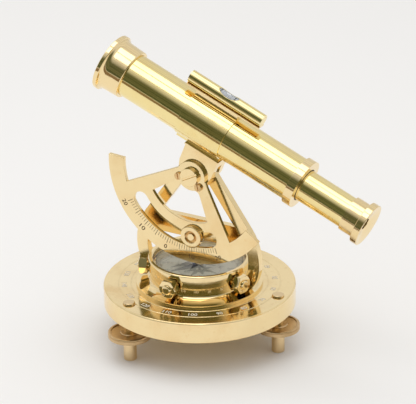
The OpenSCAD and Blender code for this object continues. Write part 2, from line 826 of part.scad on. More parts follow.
// The window between the spokes, under the boss
module arc_window() {
    round_c = beside(window_angle, window_off - arc_fillet, boss_r + arc_fillet);
    corner = beside(window_angle, window_off, arc_in_r);
    both_sides(concat(
        bend([0, 0], boss_r, -86, bearing_of(round_c)),
        bend(round_c, arc_fillet, bearing_of(round_c) + 180, window_angle),
        bend([0, 0], arc_in_r, bearing_of(corner), -89, 15)
    ));
}

// The slot that the clamp stud runs in, with round ends
module arc_slot() {
    end_c = arc_point(arc_mid_r, slot_angle);
    both_sides(concat(
        bend([0, 0], arc_slot_r, -89, slot_angle - 90, 18),
        bend(end_c, arc_slot_w, slot_angle + 80, slot_angle - 80, 16),
        bend([0, 0], arc_band_r, slot_angle - 90, -89, 18)
    ));
}

module arc() color("gold") {
    on_arc() difference() {
        plate_y(arc_face, arc_back) difference() {
            arc_body();
            arc_window();
            arc_slot();
        }
        bar_y(pivot_r + seat_gap, arc_face - 1, arc_back + 1);
        at_arc_screws() bar_y(arc_screw_r + seat_gap, arc_face - 1, arc_back + 1);
    }
}

module arc_screws() color("goldenrod") {
    tip = -frame_t / 2 - fork_gap - 0.6;
    on_arc() at_arc_screws() difference() {
        union() {
            bar_y(arc_head_r, arc_face - arc_head_h, arc_face);
            bar_y(arc_screw_r, arc_face, tip);
        }
        rotate([0, 60, 0]) translate([-arc_head_r - 1, arc_face - arc_head_h - 1, -slot_w / 4]) {
            cube([2 * arc_head_r + 2, slot_deep + 1, slot_w / 2]);
        }
    }
}

module saddle_plate() color("gold") {
    tilted() difference() {
        translate([-saddle_l, -fork_d - 0.4, fork_top]) cube([2 * saddle_l, 2 * fork_d + 0.8, saddle_t]);
        at_saddle_screws() bar_z(arc_screw_r + seat_gap, fork_top - 1, fork_top + saddle_t + 1);
    }
}

// The places of the two screws that hold the sleeve's pad on the fork
module at_saddle_screws() {
    for (side = [-1, 1]) translate([side * saddle_screw_x, 0, 0]) children();
}

// A sunk screw from the fork's slot up into the sleeve's pad, grown by a gap
module saddle_screw_shape(gap) {
    bar_z(arc_screw_r + gap, fork_slot, fork_top + saddle_t + saddle_grip + gap);
    translate([0, 0, fork_slot]) {
        cylinder(r1 = saddle_head_r + gap, r2 = arc_screw_r + gap, h = saddle_head_h);
    }
}

module saddle_screws() color("goldenrod") {
    tilted() at_saddle_screws() saddle_screw_shape(0);
}

module clamp_sleeve() color("gold") {
    on_axis() difference() {
        union() {
            bar_x(sleeve_r, -sleeve_front, sleeve_back);
            translate([-sleeve_front, -pad_w, -pad_b]) cube([sleeve_front + sleeve_back, 2 * pad_w, pad_b]);
        }
        bar_x(tube_r + seat_gap, -sleeve_front - 1, sleeve_back + 1);
        translate([0, 0, -tube_b]) at_saddle_screws() saddle_screw_shape(seat_gap);
    }
}

module main_tube() color("gold") {
    on_axis() pipe_x(tube_r, tube_in, -cell_mid + 1, tube_back);
}

// The objective's cell: skirt over the tube, cove, rim, and a seat for the lens
module objective_cell() color("gold") {
    cove_l = cell_front - rim_w - cell_mid;
    on_axis() rotate([0, 90, 0]) rotate_extrude() polygon(concat(
        [[tube_r + seat_gap, -cell_back], [tube_r + seat_gap, 1 - cell_mid]],
        [[lens_open_r, 1 - cell_mid], [lens_open_r, lens_seat], [lens_r + seat_gap, lens_seat]],
        [[lens_r + seat_gap, lens_x - lens_half - lens_ring_t], [rim_r - 1.6, -cell_front]],
        [[rim_r - 0.3, -cell_front], [rim_r, -cell_front + 0.3]],
        [[rim_r, -cell_front + rim_w - 0.3], [rim_r - 0.3, -cell_front + rim_w]],
        [for (a = [75:-15:0]) [
            cell_r + 0.35 + (rim_r - 0.6 - cell_r) * (1 - cos(a)),
            -cell_mid - cove_l * sin(a)
        ]],
        [[cell_r, -cell_back - 0.4], [cell_r - 0.3, -cell_back]]
    ));
}

// A lens on X whose middle plane is at x, with both faces curved
module lens(r, edge, curve, x) {
    rim = edge / 2 - sqrt(pow(curve, 2) - pow(r, 2));
    face = [for (i = [0:8]) let (y = r * i / 8) [y, rim + sqrt(pow(curve, 2) - pow(y, 2))]];
    back = [for (i = [8:-1:0]) [face[i][0], -face[i][1]]];
    translate([x, 0, 0]) rotate([0, 90, 0]) rotate_extrude() polygon(concat(face, back));
}

module objective_lens() color("lightblue", 0.35) {
    on_axis() lens(lens_r, lens_t, lens_curve_r, lens_x);
}

module lens_ring() color("goldenrod") {
    on_axis() pipe_x(lens_r, lens_open_r, lens_x - lens_half - lens_ring_t, lens_x - lens_half);
}

module tube_end_ring() color("gold") {
    on_axis() difference() {
        union() {
            bar_x(ring_r, tube_back, ring_back);
            bar_x(tube_in - seat_gap, tube_back - ring_plug, tube_back);
        }
        bar_x(draw_r + run_gap, tube_back - ring_plug - 1, ring_back + 1);
    }
}

module draw_tube() color("gold") {
    on_axis() pipe_x(draw_r, draw_in, draw_front, draw_back);
}

module draw_guide() color("goldenrod") {
    on_axis() pipe_x(tube_in - 2 * run_gap, draw_r + seat_gap, draw_front, draw_front + guide_l);
}

module eyepiece_cell() color("gold") {
    end = cup_front + cup_fit;
    seat = draw_back + eye_seat_l;
    on_axis() difference() {
        bar_x(eye_r, eye_front, end);
        bar_x(draw_r + seat_gap, eye_front - 1, draw_back);
        bar_x(eye_lens_r + seat_gap, draw_back - 1, seat);
        bar_x(eye_hole_r + seat_gap, draw_back, end + 1);
    }
}

module eyepiece_lens() color("lightblue", 0.35) {
    on_axis() lens(eye_lens_r, eye_lens_t, eye_curve_r, draw_back + eye_seat_l / 2);
}

// The cup that the eye is held to: a rim over the cell, hollowed towards the eye hole
module eye_cup() color("gold") {
    hollow_r = cup_r - cup_lip;
    deep = cup_back - cup_deep;
    on_axis() rotate([0, 90, 0]) rotate_extrude() polygon([
        [eye_hole_r, deep], [eye_hole_r, cup_front + cup_fit + seat_gap],
        [eye_r + seat_gap, cup_front + cup_fit + seat_gap], [eye_r + seat_gap, cup_front],
        [cup_r - 0.3, cup_front], [cup_r, cup_front + 0.3], [cup_r, cup_back - 0.2],
        [cup_r - 0.2, cup_back], [hollow_r, cup_back]
    ]);
}

module level_post() color("gold") {
    low = sleeve_r - post_sunk;
    length = sleeve_front + sleeve_back - 2 * post_in;
    on_axis() difference() {
        translate([post_in - sleeve_front, -post_w, low]) cube([length, 2 * post_w, rail_b - rail_t - low]);
        bar_x(sleeve_r, -sleeve_front - 1, sleeve_back + 1);
    }
}

module level_rail() color("gold") {
    on_axis() difference() {
        translate([-level_front, -rail_w, rail_b - rail_t]) {
            cube([level_front + level_back, 2 * rail_w, rail_t]);
        }
        translate([0, 0, level_b]) bar_x(level_r + seat_gap, -level_front - 1, level_back + 1);
    }
}

module level_tube() color("gold") {
    cut_r = (pow(window_l, 2) + pow(window_deep, 2)) / (2 * window_deep);
    on_axis() translate([0, 0, level_b]) difference() {
        pipe_x(level_r, vial_r + seat_gap, -level_front, level_back);
        translate([0, 0, level_r - window_deep + cut_r]) bar_y(cut_r, -level_r - 1, level_r + 1);
    }
}

module level_vial() color("lightgray", 0.5) {
    on_axis() translate([0, 0, level_b]) bar_x(vial_r, -vial_l, vial_l);
}

module level_plugs() color("gold") {
    on_axis() translate([0, 0, level_b]) {
        bar_x(vial_r, -level_front, -level_front + 3);
        bar_x(vial_r, level_back - 3, level_back);
    }
}

base_plate();
levelling_stem(1);  // levelling_stem_1
levelling_stem(2);  // levelling_stem_2
levelling_stem(3);  // levelling_stem_3
levelling_wheel(1);  // levelling_wheel_1
levelling_wheel(2);  // levelling_wheel_2
levelling_wheel(3);  // levelling_wheel_3
swivel_bolt();
swivel_washer();
swivel_nut();
compass_box();
compass_bowl();
compass_dial();
needle_pin();
compass_needle();
needle_cap();
compass_glass();
bezel_ring();
box_studs();
box_nuts();
frame();
frame_screws();
clamp_stud();
clamp_collar();
clamp_knob();
pivot_screw();
pivot_washer();
pivot_nut();
fork();
arc();
arc_screws();
saddle_plate();
saddle_screws();
clamp_sleeve();
main_tube();
objective_cell();
objective_lens();
lens_ring();
tube_end_ring();
draw_tube();
draw_guide();
eyepiece_cell();
eyepiece_lens();
eye_cup();
level_post();
level_rail();
level_tube();
level_vial();
level_plugs();
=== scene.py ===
"""Looks of a small brass alidade.

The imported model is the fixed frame: a telescope with a spirit level tilts in a
fork over a compass box, and the box swivels on a round base with three levelling
screws. This script gives every CAD node its finish, models what the solids leave
out (rounded edges, graduations, numerals, knurls, chamfered nuts, the compass
card, the spirit and its bubble), and sets up a pale studio with a camera at the
photograph's angle.

The row frame is in metres: +Z up, +X the way the eyepiece points, and -Y the side
that the arc is on. The sizes in the classes are in millimetres, and a piece is
scaled to metres when it is put in its place.
"""

from __future__ import annotations

import json
import logging
import math
from collections.abc import Callable, Iterator, Sequence
from contextlib import contextmanager
from dataclasses import dataclass
from enum import Enum

import bpy
from bpy.types import Material, Node, NodeSocket, NodeTree, Object
from mathutils import Matrix, Vector

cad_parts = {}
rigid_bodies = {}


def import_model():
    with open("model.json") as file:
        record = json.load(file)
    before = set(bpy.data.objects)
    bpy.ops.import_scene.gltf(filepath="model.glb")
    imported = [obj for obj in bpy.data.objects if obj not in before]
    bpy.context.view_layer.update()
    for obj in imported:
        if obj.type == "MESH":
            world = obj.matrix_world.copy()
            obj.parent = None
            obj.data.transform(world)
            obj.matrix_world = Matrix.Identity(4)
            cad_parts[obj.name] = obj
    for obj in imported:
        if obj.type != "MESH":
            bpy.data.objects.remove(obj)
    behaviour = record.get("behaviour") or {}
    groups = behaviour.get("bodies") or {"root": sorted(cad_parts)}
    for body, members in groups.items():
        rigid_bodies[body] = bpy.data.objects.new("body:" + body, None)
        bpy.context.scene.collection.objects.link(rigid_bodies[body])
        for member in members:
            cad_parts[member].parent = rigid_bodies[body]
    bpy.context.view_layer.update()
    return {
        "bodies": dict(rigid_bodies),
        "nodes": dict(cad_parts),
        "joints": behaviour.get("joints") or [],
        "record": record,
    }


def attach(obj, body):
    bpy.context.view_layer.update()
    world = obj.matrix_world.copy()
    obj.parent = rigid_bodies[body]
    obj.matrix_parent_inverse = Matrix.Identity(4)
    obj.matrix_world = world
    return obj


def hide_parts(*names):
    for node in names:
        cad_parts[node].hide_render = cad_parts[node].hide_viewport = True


LOG = logging.getLogger("alidade")

MM = 0.001
TILT = math.radians(22.37)
ARC_SKEW = math.radians(2.33)
PIVOT = Vector((0.0, 0.0, 94.1)) * MM
TUBE_HEIGHT = 27.56 * MM
LEVEL_HEIGHT = 46.66 * MM
CLAMP_AXIS = (0.8 * MM, 60.9 * MM)
SOFT_ANGLE = math.radians(30)
FLAT_ANGLE = math.radians(0.4)
MERGE_DISTANCE = 1e-6
BUMP_DISTANCE = 0.1 * MM
CLOUD_SCALE = 55.0
SPECK_SCALE = 420.0
NICK_SCALE = 260.0

Colour = tuple[float, float, float]
Point = tuple[float, float]
Profile = Sequence[tuple[float, float]]


class Slot(Enum):
    """The record's material slots."""

    BRASS = "brass"
    PLATE = "brass_plate"
    BLUED = "blued_steel"
    CARD = "dial_card"
    VIAL = "vial_glass"


class Body(Enum):
    """The CAD bodies that new pieces ride on."""

    BASE = "base"
    TURRET = "turret"
    KNOB = "knob"
    TELESCOPE = "telescope"


class Grain(Enum):
    """How a brass surface was last polished."""

    TURNED = "turned_rings"
    FLAT = "buffed_lines"


def upright() -> Matrix:
    """Returns the frame of what is turned about the base's axis."""
    return Matrix.Identity(4)


def along_telescope(height: float) -> Matrix:
    """Gives the frame of what is turned about an axis along the telescope.

    Args:
        height: distance of that axis over the tilt axis, in metres.

    Returns:
        A matrix whose Z runs to the eyepiece and whose origin is over the tilt axis.
    """
    turn = Matrix.Rotation(TILT, 4, "Y")
    lay = Matrix.Rotation(math.pi / 2, 4, "Y")
    return Matrix.Translation(PIVOT) @ turn @ Matrix.Translation((0, 0, height)) @ lay


def across_frame(x: float, z: float) -> Matrix:
    """Gives the frame of what is turned about a line square to the standing frame.

    Args:
        x: place of that line along X, in metres.
        z: height of that line, in metres.

    Returns:
        A matrix whose Z runs to the arc's side and whose origin is in the frame's middle.
    """
    return Matrix.Translation((x, 0, z)) @ Matrix.Rotation(math.pi / 2, 4, "X")


def on_arc() -> Matrix:
    """Returns the arc's frame: Z to the front, Y from the arc's middle to the tilt axis."""
    turn = Matrix.Rotation(TILT - ARC_SKEW, 4, "Y")
    return Matrix.Translation(PIVOT) @ turn @ Matrix.Rotation(math.pi / 2, 4, "X")


class NodeWriter:
    """Adds and joins nodes in one node tree."""

    def __init__(self, tree: NodeTree) -> None:
        """Starts on an empty tree.

        Args:
            tree: the node tree to write in.
        """
        self.tree = tree
        tree.nodes.clear()

    def add(self, kind: str, **settings: object) -> Node:
        """Adds a node.

        Args:
            kind: the node's type, without its Shader prefix.
            **settings: properties to set on the node.

        Returns:
            The new node.
        """
        node = self.tree.nodes.new(kind if kind.startswith("Node") else "ShaderNode" + kind)
        for key, value in settings.items():
            setattr(node, key, value)
        return node

    def link(self, source: NodeSocket, target: NodeSocket) -> None:
        """Joins two sockets."""
        self.tree.links.new(source, target)

    def math(self, operation: str, *values: NodeSocket | float) -> NodeSocket:
        """Adds a Math node.

        Args:
            operation: the node's operation.
            *values: its inputs, each a socket or a number.

        Returns:
            The node's output.
        """
        node = self.add("Math", operation=operation)
        for place, value in zip(node.inputs, values):
            if isinstance(value, (int, float)):
                place.default_value = value
            else:
                self.link(value, place)
        return node.outputs[0]

    def ramp(self, value: NodeSocket, low: float, high: float) -> NodeSocket:
        """Maps a value to 0 at low and 1 at high, with a smooth step between.

        Args:
            value: the value.
            low: where the step starts.
            high: where the step ends.

        Returns:
            The stepped value.
        """
        node = self.add("MapRange", interpolation_type="SMOOTHSTEP")
        self.link(value, node.inputs["Value"])
        node.inputs["From Min"].default_value = low
        node.inputs["From Max"].default_value = high
        return node.outputs["Result"]

    def noise(
        self, vector: NodeSocket, scale: float | NodeSocket, detail: float, rough: float = 0.5
    ) -> NodeSocket:
        """Adds a Noise texture.

        Args:
            vector: where it is read.
            scale: its scale, a number or a socket.
            detail: its detail.
            rough: its roughness.

        Returns:
            The noise's value.
        """
        node = self.add("TexNoise")
        self.link(vector, node.inputs["Vector"])
        if isinstance(scale, (int, float)):
            node.inputs["Scale"].default_value = scale
        else:
            self.link(scale, node.inputs["Scale"])
        node.inputs["Detail"].default_value = detail
        node.inputs["Roughness"].default_value = rough
        return node.outputs["Fac"]

    def mix(
        self,
        factor: NodeSocket,
        first: NodeSocket | Sequence[float],
        second: NodeSocket | Sequence[float],
    ) -> NodeSocket:
        """Mixes two colours.

        Args:
            factor: share of the second colour.
            first: a colour or a socket.
            second: a colour or a socket.

        Returns:
            The mixed colour.
        """
        node = self.add("Mix", data_type="RGBA")
        self.link(factor, node.inputs[0])
        for place, value in ((node.inputs[6], first), (node.inputs[7], second)):
            if isinstance(value, NodeSocket):
                self.link(value, place)
            else:
                place.default_value = (*value, 1.0)
        return node.outputs[2]

    def emboss(self, height: NodeSocket, strength: float, skin: Node) -> Node:
        """Bumps a surface.

        Args:
            height: the bump's height.
            strength: its strength.
            skin: the surface's shader.

        Returns:
            The bump.
        """
        bump = self.add("Bump")
        bump.inputs["Strength"].default_value = strength
        bump.inputs["Distance"].default_value = BUMP_DISTANCE
        self.link(height, bump.inputs["Height"])
        self.link(bump.outputs[0], skin.inputs["Normal"])
        return bump


def new_group(
    name: str, inputs: dict[str, str], outputs: dict[str, str]
) -> tuple[NodeWriter, Node, Node]:
    """Starts a shader node group with named sockets.

    Args:
        name: the group's name.
        inputs: input names with their socket types.
        outputs: output names with their socket types.

    Returns:
        The group's writer, its input node and its output node.
    """
    tree = bpy.data.node_groups.new(name, "ShaderNodeTree")
    for way, sockets in (("INPUT", inputs), ("OUTPUT", outputs)):
        for label, kind in sockets.items():
            tree.interface.new_socket(label, in_out=way, socket_type="NodeSocket" + kind)
    writer = NodeWriter(tree)
    return writer, writer.add("NodeGroupInput"), writer.add("NodeGroupOutput")


def make_polish_group() -> NodeTree:
    """Builds the group for a polished metal's cloudy tone and its uneven gloss.

    Returns:
        A group that puts out a colour and a roughness.
    """
    floats = dict.fromkeys(("Tone", "Gloss", "Uneven"), "Float")
    w, given, out = new_group(
        "polish",
        {"Vector": "Vector", "Fresh": "Color", "Toned": "Color", **floats},
        {"Color": "Color", "Roughness": "Float"},
    )
    place, fresh, toned, tone, gloss, uneven = given.outputs[:6]
    cloud = w.noise(place, CLOUD_SCALE, 4.0, 0.55)
    specks = w.noise(place, SPECK_SCALE, 3.0, 0.6)
    clouded = w.math("MULTIPLY", w.ramp(cloud, 0.42, 0.74), tone)
    specked = w.math("MULTIPLY", w.ramp(specks, 0.60, 0.74), tone)
    share = w.math("ADD", clouded, w.math("MULTIPLY", specked, 0.6))
    w.link(w.mix(w.math("MINIMUM", share, 1.0), fresh, toned), out.inputs["Color"])
    worn = w.math("MULTIPLY", w.ramp(cloud, 0.35, 0.70), uneven)
    pitted = w.math("MULTIPLY", w.ramp(specks, 0.55, 0.75), w.math("MULTIPLY", uneven, 0.7))
    w.link(w.math("ADD", gloss, w.math("ADD", worn, pitted)), out.inputs["Roughness"])
    return w.tree


def make_turned_group() -> NodeTree:
    """Builds the group for the fine rings that a lathe leaves about the Z axis.

    Returns:
        A group that puts out a height.
    """
    given_kinds = {"Vector": "Vector", "Lines": "Float"}
    w, given, out = new_group(Grain.TURNED.value, given_kinds, {"Height": "Float"})
    split = w.add("SeparateXYZ")
    w.link(given.outputs["Vector"], split.inputs[0])
    x, y, z = split.outputs
    radius = w.math("SQRT", w.math("ADD", w.math("MULTIPLY", x, x), w.math("MULTIPLY", y, y)))
    join = w.add("CombineXYZ")
    w.link(w.math("MULTIPLY", radius, given.outputs["Lines"]), join.inputs[0])
    w.link(w.math("MULTIPLY", z, given.outputs["Lines"]), join.inputs[1])
    w.link(w.noise(join.outputs[0], 1.0, 2.0, 0.7), out.inputs["Height"])
    return w.tree


def make_buffed_group() -> NodeTree:
    """Builds the group for the fine straight lines that a buff leaves on a flat plate.

    Returns:
        A group that puts out a height.
    """
    given_kinds = {"Vector": "Vector", "Lines": "Float"}
    w, given, out = new_group(Grain.FLAT.value, given_kinds, {"Height": "Float"})
    place = w.add("Mapping")
    w.link(given.outputs["Vector"], place.inputs["Vector"])
    place.inputs["Scale"].default_value = (0.05, 1.0, 1.0)
    fine = w.noise(place.outputs[0], given.outputs["Lines"], 3.0, 0.7)
    nicks = w.add("TexVoronoi", feature="DISTANCE_TO_EDGE")
    w.link(place.outputs[0], nicks.inputs["Vector"])
    nicks.inputs["Scale"].default_value = NICK_SCALE
    scratch = w.math("SUBTRACT", 1.0, w.ramp(nicks.outputs["Distance"], 0.0, 0.012))
    w.link(w.math("SUBTRACT", fine, w.math("MULTIPLY", scratch, 0.5)), out.inputs["Height"])
    return w.tree


class Effects:
    """The shared node groups, each built when it is first asked for."""

    made: dict[str, NodeTree] = {}
    makers: dict[str, Callable[[], NodeTree]] = {
        "polish": make_polish_group,
        Grain.TURNED.value: make_turned_group,
        Grain.FLAT.value: make_buffed_group,
    }

    @classmethod
    def use(cls, writer: NodeWriter, name: str, **values: object) -> Node:
        """Places a shared group in a material.

        Args:
            writer: the material's writer.
            name: the group's name.
            **values: numbers or colours for its inputs.

        Returns:
            The group node.
        """
        if name not in cls.made:
            cls.made[name] = cls.makers[name]()
        node = writer.add("Group", node_tree=cls.made[name])
        for key, value in values.items():
            node.inputs[key].default_value = value
        return node


def start_material(name: str, frame: Matrix) -> tuple[Material, NodeWriter, Node, NodeSocket]:
    """Starts a material that is read in a frame of its own.

    Args:
        name: the material's name.
        frame: the frame, in metres.

    Returns:
        The material, its writer, its surface shader and the place in the frame.
    """
    material = bpy.data.materials.new(name)
    material.use_nodes = True
    w = NodeWriter(material.node_tree)
    out = w.add("OutputMaterial")
    skin = w.add("BsdfPrincipled")
    w.link(skin.outputs[0], out.inputs[0])
    where = w.add("TexCoord")
    place = w.add("Mapping", vector_type="TEXTURE")
    spot, turned, _ = frame.decompose()
    place.inputs["Location"].default_value = spot
    place.inputs["Rotation"].default_value = turned.to_euler("XYZ")
    w.link(where.outputs["Object"], place.inputs["Vector"])
    return material, w, skin, place.outputs[0]


def add_polish(
    w: NodeWriter, place: NodeSocket, skin: Node, finish: BrassFinish | PlainFinish
) -> None:
    """Gives a surface its cloudy tone and its uneven gloss.

    Args:
        w: the material's writer.
        place: where the surface is read.
        skin: its shader.
        finish: the finish that holds its colours, tone and gloss.
    """
    polish = Effects.use(
        w,
        "polish",
        Fresh=(*finish.fresh, 1),
        Toned=(*finish.toned, 1),
        Tone=finish.tone,
        Gloss=finish.gloss,
        Uneven=finish.uneven,
    )
    w.link(place, polish.inputs["Vector"])
    w.link(polish.outputs["Color"], skin.inputs["Base Color"])
    w.link(polish.outputs["Roughness"], skin.inputs["Roughness"])


@dataclass(frozen=True)
class BrassFinish:
    """A polished brass surface; its lean tips what a flat plate mirrors."""

    name: str
    frame: Matrix
    grain: Grain = Grain.TURNED
    fresh: Colour = (0.95, 0.76, 0.43)
    toned: Colour = (0.88, 0.63, 0.31)
    tone: float = 0.45
    gloss: float = 0.06
    uneven: float = 0.05
    lines: float = 2200.0
    depth: float = 0.03
    lean: float = 0.0

    def make(self) -> Material:
        """Builds the material.

        Returns:
            The new material.
        """
        material, w, metal, place = start_material(self.name, self.frame)
        metal.inputs["Metallic"].default_value = 1.0
        add_polish(w, place, metal, self)
        lines = Effects.use(w, self.grain.value, Lines=self.lines)
        w.link(place, lines.inputs["Vector"])
        bump = w.emboss(lines.outputs["Height"], self.depth, metal)
        if self.lean:
            split = w.add("SeparateXYZ")
            w.link(place, split.inputs[0])
            slope = w.add("Bump")
            slope.inputs["Distance"].default_value = 1.0
            w.link(w.math("MULTIPLY", split.outputs[1], -self.lean), slope.inputs["Height"])
            w.link(slope.outputs[0], bump.inputs["Normal"])
        return material


@dataclass(frozen=True)
class GlassFinish:
    """A clear glass whose edge-on parts reflect more than they let through."""

    name: str
    tint: Colour = (0.96, 0.99, 0.98)
    clear: float = 0.45
    ior: float = 1.5

    def make(self) -> Material:
        """Builds the material.

        Returns:
            The new material.
        """
        material, w, glass, place = start_material(self.name, upright())
        glass.inputs["Base Color"].default_value = (*self.tint, 1)
        glass.inputs["IOR"].default_value = self.ior
        glass.inputs["Transmission Weight"].default_value = 1.0
        smears = w.ramp(w.noise(place, 160.0, 3.0), 0.5, 0.8)
        w.link(w.math("MULTIPLY_ADD", smears, 0.05, 0.01), glass.inputs["Roughness"])
        edge = w.add("Fresnel")
        edge.inputs["IOR"].default_value = self.ior
        seen = w.math("MINIMUM", w.math("MULTIPLY_ADD", edge.outputs[0], 1.6, self.clear), 1.0)
        outside = w.math("SUBTRACT", 1.0, w.add("NewGeometry").outputs["Backfacing"])
        w.link(w.math("MULTIPLY", seen, outside), glass.inputs["Alpha"])
        return material


@dataclass(frozen=True)
class PlainFinish:
    """A printed, painted, blued or engraved surface with a little cloudiness."""

    name: str
    fresh: Colour
    toned: Colour
    gloss: float = 0.5
    metallic: float = 0.0
    tone: float = 0.5
    uneven: float = 0.1
    pores: float = 1800.0
    depth: float = 0.08

    def make(self) -> Material:
        """Builds the material.

        Returns:
            The new material.
        """
        material, w, skin, place = start_material(self.name, upright())
        skin.inputs["Metallic"].default_value = self.metallic
        add_polish(w, place, skin, self)
        w.emboss(w.noise(place, self.pores, 2.0), self.depth, skin)
        return material


@dataclass(frozen=True)
class NeedleFinish:
    """A steel needle that is blued on its north half and bright on the other."""

    name: str
    bearing: float
    blued: Colour = (0.03, 0.035, 0.07)
    bright: Colour = (0.62, 0.62, 0.60)
    shaded: float = 0.7
    blend: float = 0.2 * MM

    def make(self) -> Material:
        """Builds the material.

        Returns:
            The new material.
        """
        material, w, skin, place = start_material(self.name, Matrix.Rotation(self.bearing, 4, "Z"))
        skin.inputs["Metallic"].default_value = 1.0
        split = w.add("SeparateXYZ")
        w.link(place, split.inputs[0])
        north = w.ramp(split.outputs[0], -self.blend, self.blend)
        grain = w.noise(place, 900.0, 3.0)
        steel = w.mix(grain, self.bright, tuple(self.shaded * c for c in self.bright))
        w.link(w.mix(north, steel, self.blued), skin.inputs["Base Color"])
        w.link(w.math("MULTIPLY_ADD", grain, 0.2, 0.15), skin.inputs["Roughness"])
        w.emboss(grain, 0.06, skin)
        return material


def make_finishes() -> dict[str, Material]:
    """Makes every material of the object.

    Returns:
        The materials by a short name.
    """
    tube = along_telescope(TUBE_HEIGHT)
    drawn = tube @ Matrix.Rotation(-math.pi / 2, 4, "Y")
    base, arc, clamp = upright(), on_arc(), across_frame(*CLAMP_AXIS)
    flat = Grain.FLAT
    yellow = {"fresh": (0.95, 0.79, 0.385), "toned": (0.90, 0.69, 0.29)}
    brown = {"fresh": (0.78, 0.54, 0.27), "toned": (0.52, 0.33, 0.14)}
    # The dark orange-brown colours below, used only by the dish finish, are painted shade for the
    # floor of the clamp knob's dish.
    dark = {"fresh": (0.66, 0.37, 0.13), "toned": (0.40, 0.20, 0.07)}
    dull = {"fresh": (0.68, 0.49, 0.27), "toned": (0.46, 0.30, 0.14)}
    pale = {"fresh": (0.84, 0.64, 0.37), "toned": (0.66, 0.46, 0.23)}
    kinds = {
        "turned": BrassFinish("brass_turned_upright", base, gloss=0.06),
        "base": BrassFinish("brass_base", base, gloss=0.09, uneven=0.07, tone=0.75),
        "barrel": BrassFinish("brass_barrel", drawn, flat, lines=700.0, depth=0.05, **yellow),
        "sleeve": BrassFinish(
            "brass_sleeve", drawn, flat, lines=1300.0, depth=0.16, tone=0.8, **yellow
        ),
        "cell": BrassFinish("brass_cell", tube, gloss=0.08, lines=1500.0, depth=0.02),
        "level": BrassFinish("brass_level", drawn, flat, lines=900.0, depth=0.04, **yellow),
        "plate": BrassFinish("brass_plate_flat", arc, flat, gloss=0.10, lines=900.0, tone=0.7),
        "arc": BrassFinish("brass_arc", arc, flat, gloss=0.08, lines=900.0, tone=0.7, lean=0.088),
        "stand": BrassFinish("brass_stand", across_frame(0, 0), flat, gloss=0.11, lines=900.0),
        "screw": BrassFinish("brass_screw", across_frame(0, PIVOT.z), gloss=0.10),
        "knob": BrassFinish("brass_knob", clamp, gloss=0.12, toned=(0.80, 0.46, 0.16)),
        "small_screw": BrassFinish("brass_small_screw", arc, tone=0.8, gloss=0.2, **brown),
        # The dish finish is painted shade, not a patina of the brass.
        "dish": BrassFinish("brass_dish", clamp, gloss=0.25, **dark),
        "satin": BrassFinish(
            "brass_satin", base, tone=0.8, gloss=0.30, uneven=0.14, depth=0.12, **dull
        ),
        "stem": BrassFinish("brass_stem", base, gloss=0.2, **pale),
        "glass": GlassFinish("clear_glass", clear=0.35),
        "vial": GlassFinish("vial_glass", tint=(0.93, 0.96, 1.0), clear=0.3),
        "coated": GlassFinish("coated_glass", tint=(0.86, 0.95, 0.93), clear=0.5),
        "card": PlainFinish("card", (0.58, 0.57, 0.50), (0.46, 0.47, 0.41), gloss=0.45),
        "ink": PlainFinish("ink", (0.05, 0.06, 0.05), (0.10, 0.10, 0.08), gloss=0.45),
        "blued": PlainFinish("blued", (0.05, 0.05, 0.06), (0.09, 0.08, 0.08), 0.3, metallic=1.0),
        "black": PlainFinish("tube_black", (0.02, 0.02, 0.02), (0.035, 0.03, 0.028), gloss=0.6),
        # The cut finish colours the engraved marks and numeral edges, and also the ring of painted
        # shade where the draw tube enters the end ring.
        "cut": PlainFinish("cut_lines", (0.14, 0.085, 0.03), (0.09, 0.05, 0.02), gloss=0.55),
        "figure": PlainFinish("cut_figures", (1.0, 0.93, 0.76), (0.95, 0.84, 0.62), gloss=0.5),
        "spirit": PlainFinish("spirit", (0.41, 0.43, 0.45), (0.49, 0.51, 0.53), gloss=0.10),
        "bubble": PlainFinish("bubble", (0.74, 0.76, 0.78), (0.66, 0.69, 0.72), gloss=0.06),
        "needle": NeedleFinish("needle_steel", math.radians(-123)),
    }
    return {name: kind.make() for name, kind in kinds.items()}


def activate(piece: Object) -> None:
    """Selects one piece alone and makes it active."""
    bpy.ops.object.select_all(action="DESELECT")
    piece.hide_set(False)
    piece.select_set(True)
    bpy.context.view_layer.objects.active = piece


@contextmanager
def editing(piece: Object, mode: str = "VERT") -> Iterator[None]:
    """Opens a piece in edit mode with everything selected, and closes it again.

    Args:
        piece: the piece.
        mode: what is selected, VERT, EDGE or FACE.

    Yields:
        Nothing.
    """
    activate(piece)
    bpy.ops.object.mode_set(mode="EDIT")
    bpy.ops.mesh.select_mode(type=mode)
    bpy.ops.mesh.select_all(action="SELECT")
    yield
    bpy.ops.object.mode_set(mode="OBJECT")


def select_points(piece: Object, chosen: Callable[[int, Vector], bool]) -> None:
    """Selects some vertices of a piece that is open in edit mode.

    Args:
        piece: the piece.
        chosen: tells from a vertex's number and place whether it is selected.
    """
    bpy.ops.mesh.select_mode(type="VERT")
    bpy.ops.mesh.select_all(action="DESELECT")
    bpy.ops.object.mode_set(mode="OBJECT")
    for vertex in piece.data.vertices:
        vertex.select = chosen(vertex.index, vertex.co)
    bpy.ops.object.mode_set(mode="EDIT")


def settle(piece: Object, frame: Matrix, name: str) -> Object:
    """Puts a piece that was modelled in millimetres in its place, and applies the place.

    Args:
        piece: the piece.
        frame: its place, in metres.
        name: its name.

    Returns:
        The piece, with its origin at the origin.
    """
    piece.matrix_world = frame @ Matrix.Scale(MM, 4)
    activate(piece)
    bpy.ops.object.transform_apply(location=True, rotation=True, scale=True)
    piece.name = piece.data.name = name
    return piece


def duplicate(piece: Object) -> Object:
    """Returns a copy of a piece with a mesh of its own."""
    twin = piece.copy()
    twin.data = piece.data.copy()
    bpy.context.scene.collection.objects.link(twin)
    return twin


def apply_modifier(piece: Object, kind: str, **settings: object) -> None:
    """Adds a modifier and applies it.

    Args:
        piece: the piece.
        kind: the modifier's type.
        **settings: its settings.
    """
    activate(piece)
    modifier = piece.modifiers.new(kind.lower(), kind)
    for key, value in settings.items():
        setattr(modifier, key, value)
    bpy.ops.object.modifier_apply(modifier=modifier.name)


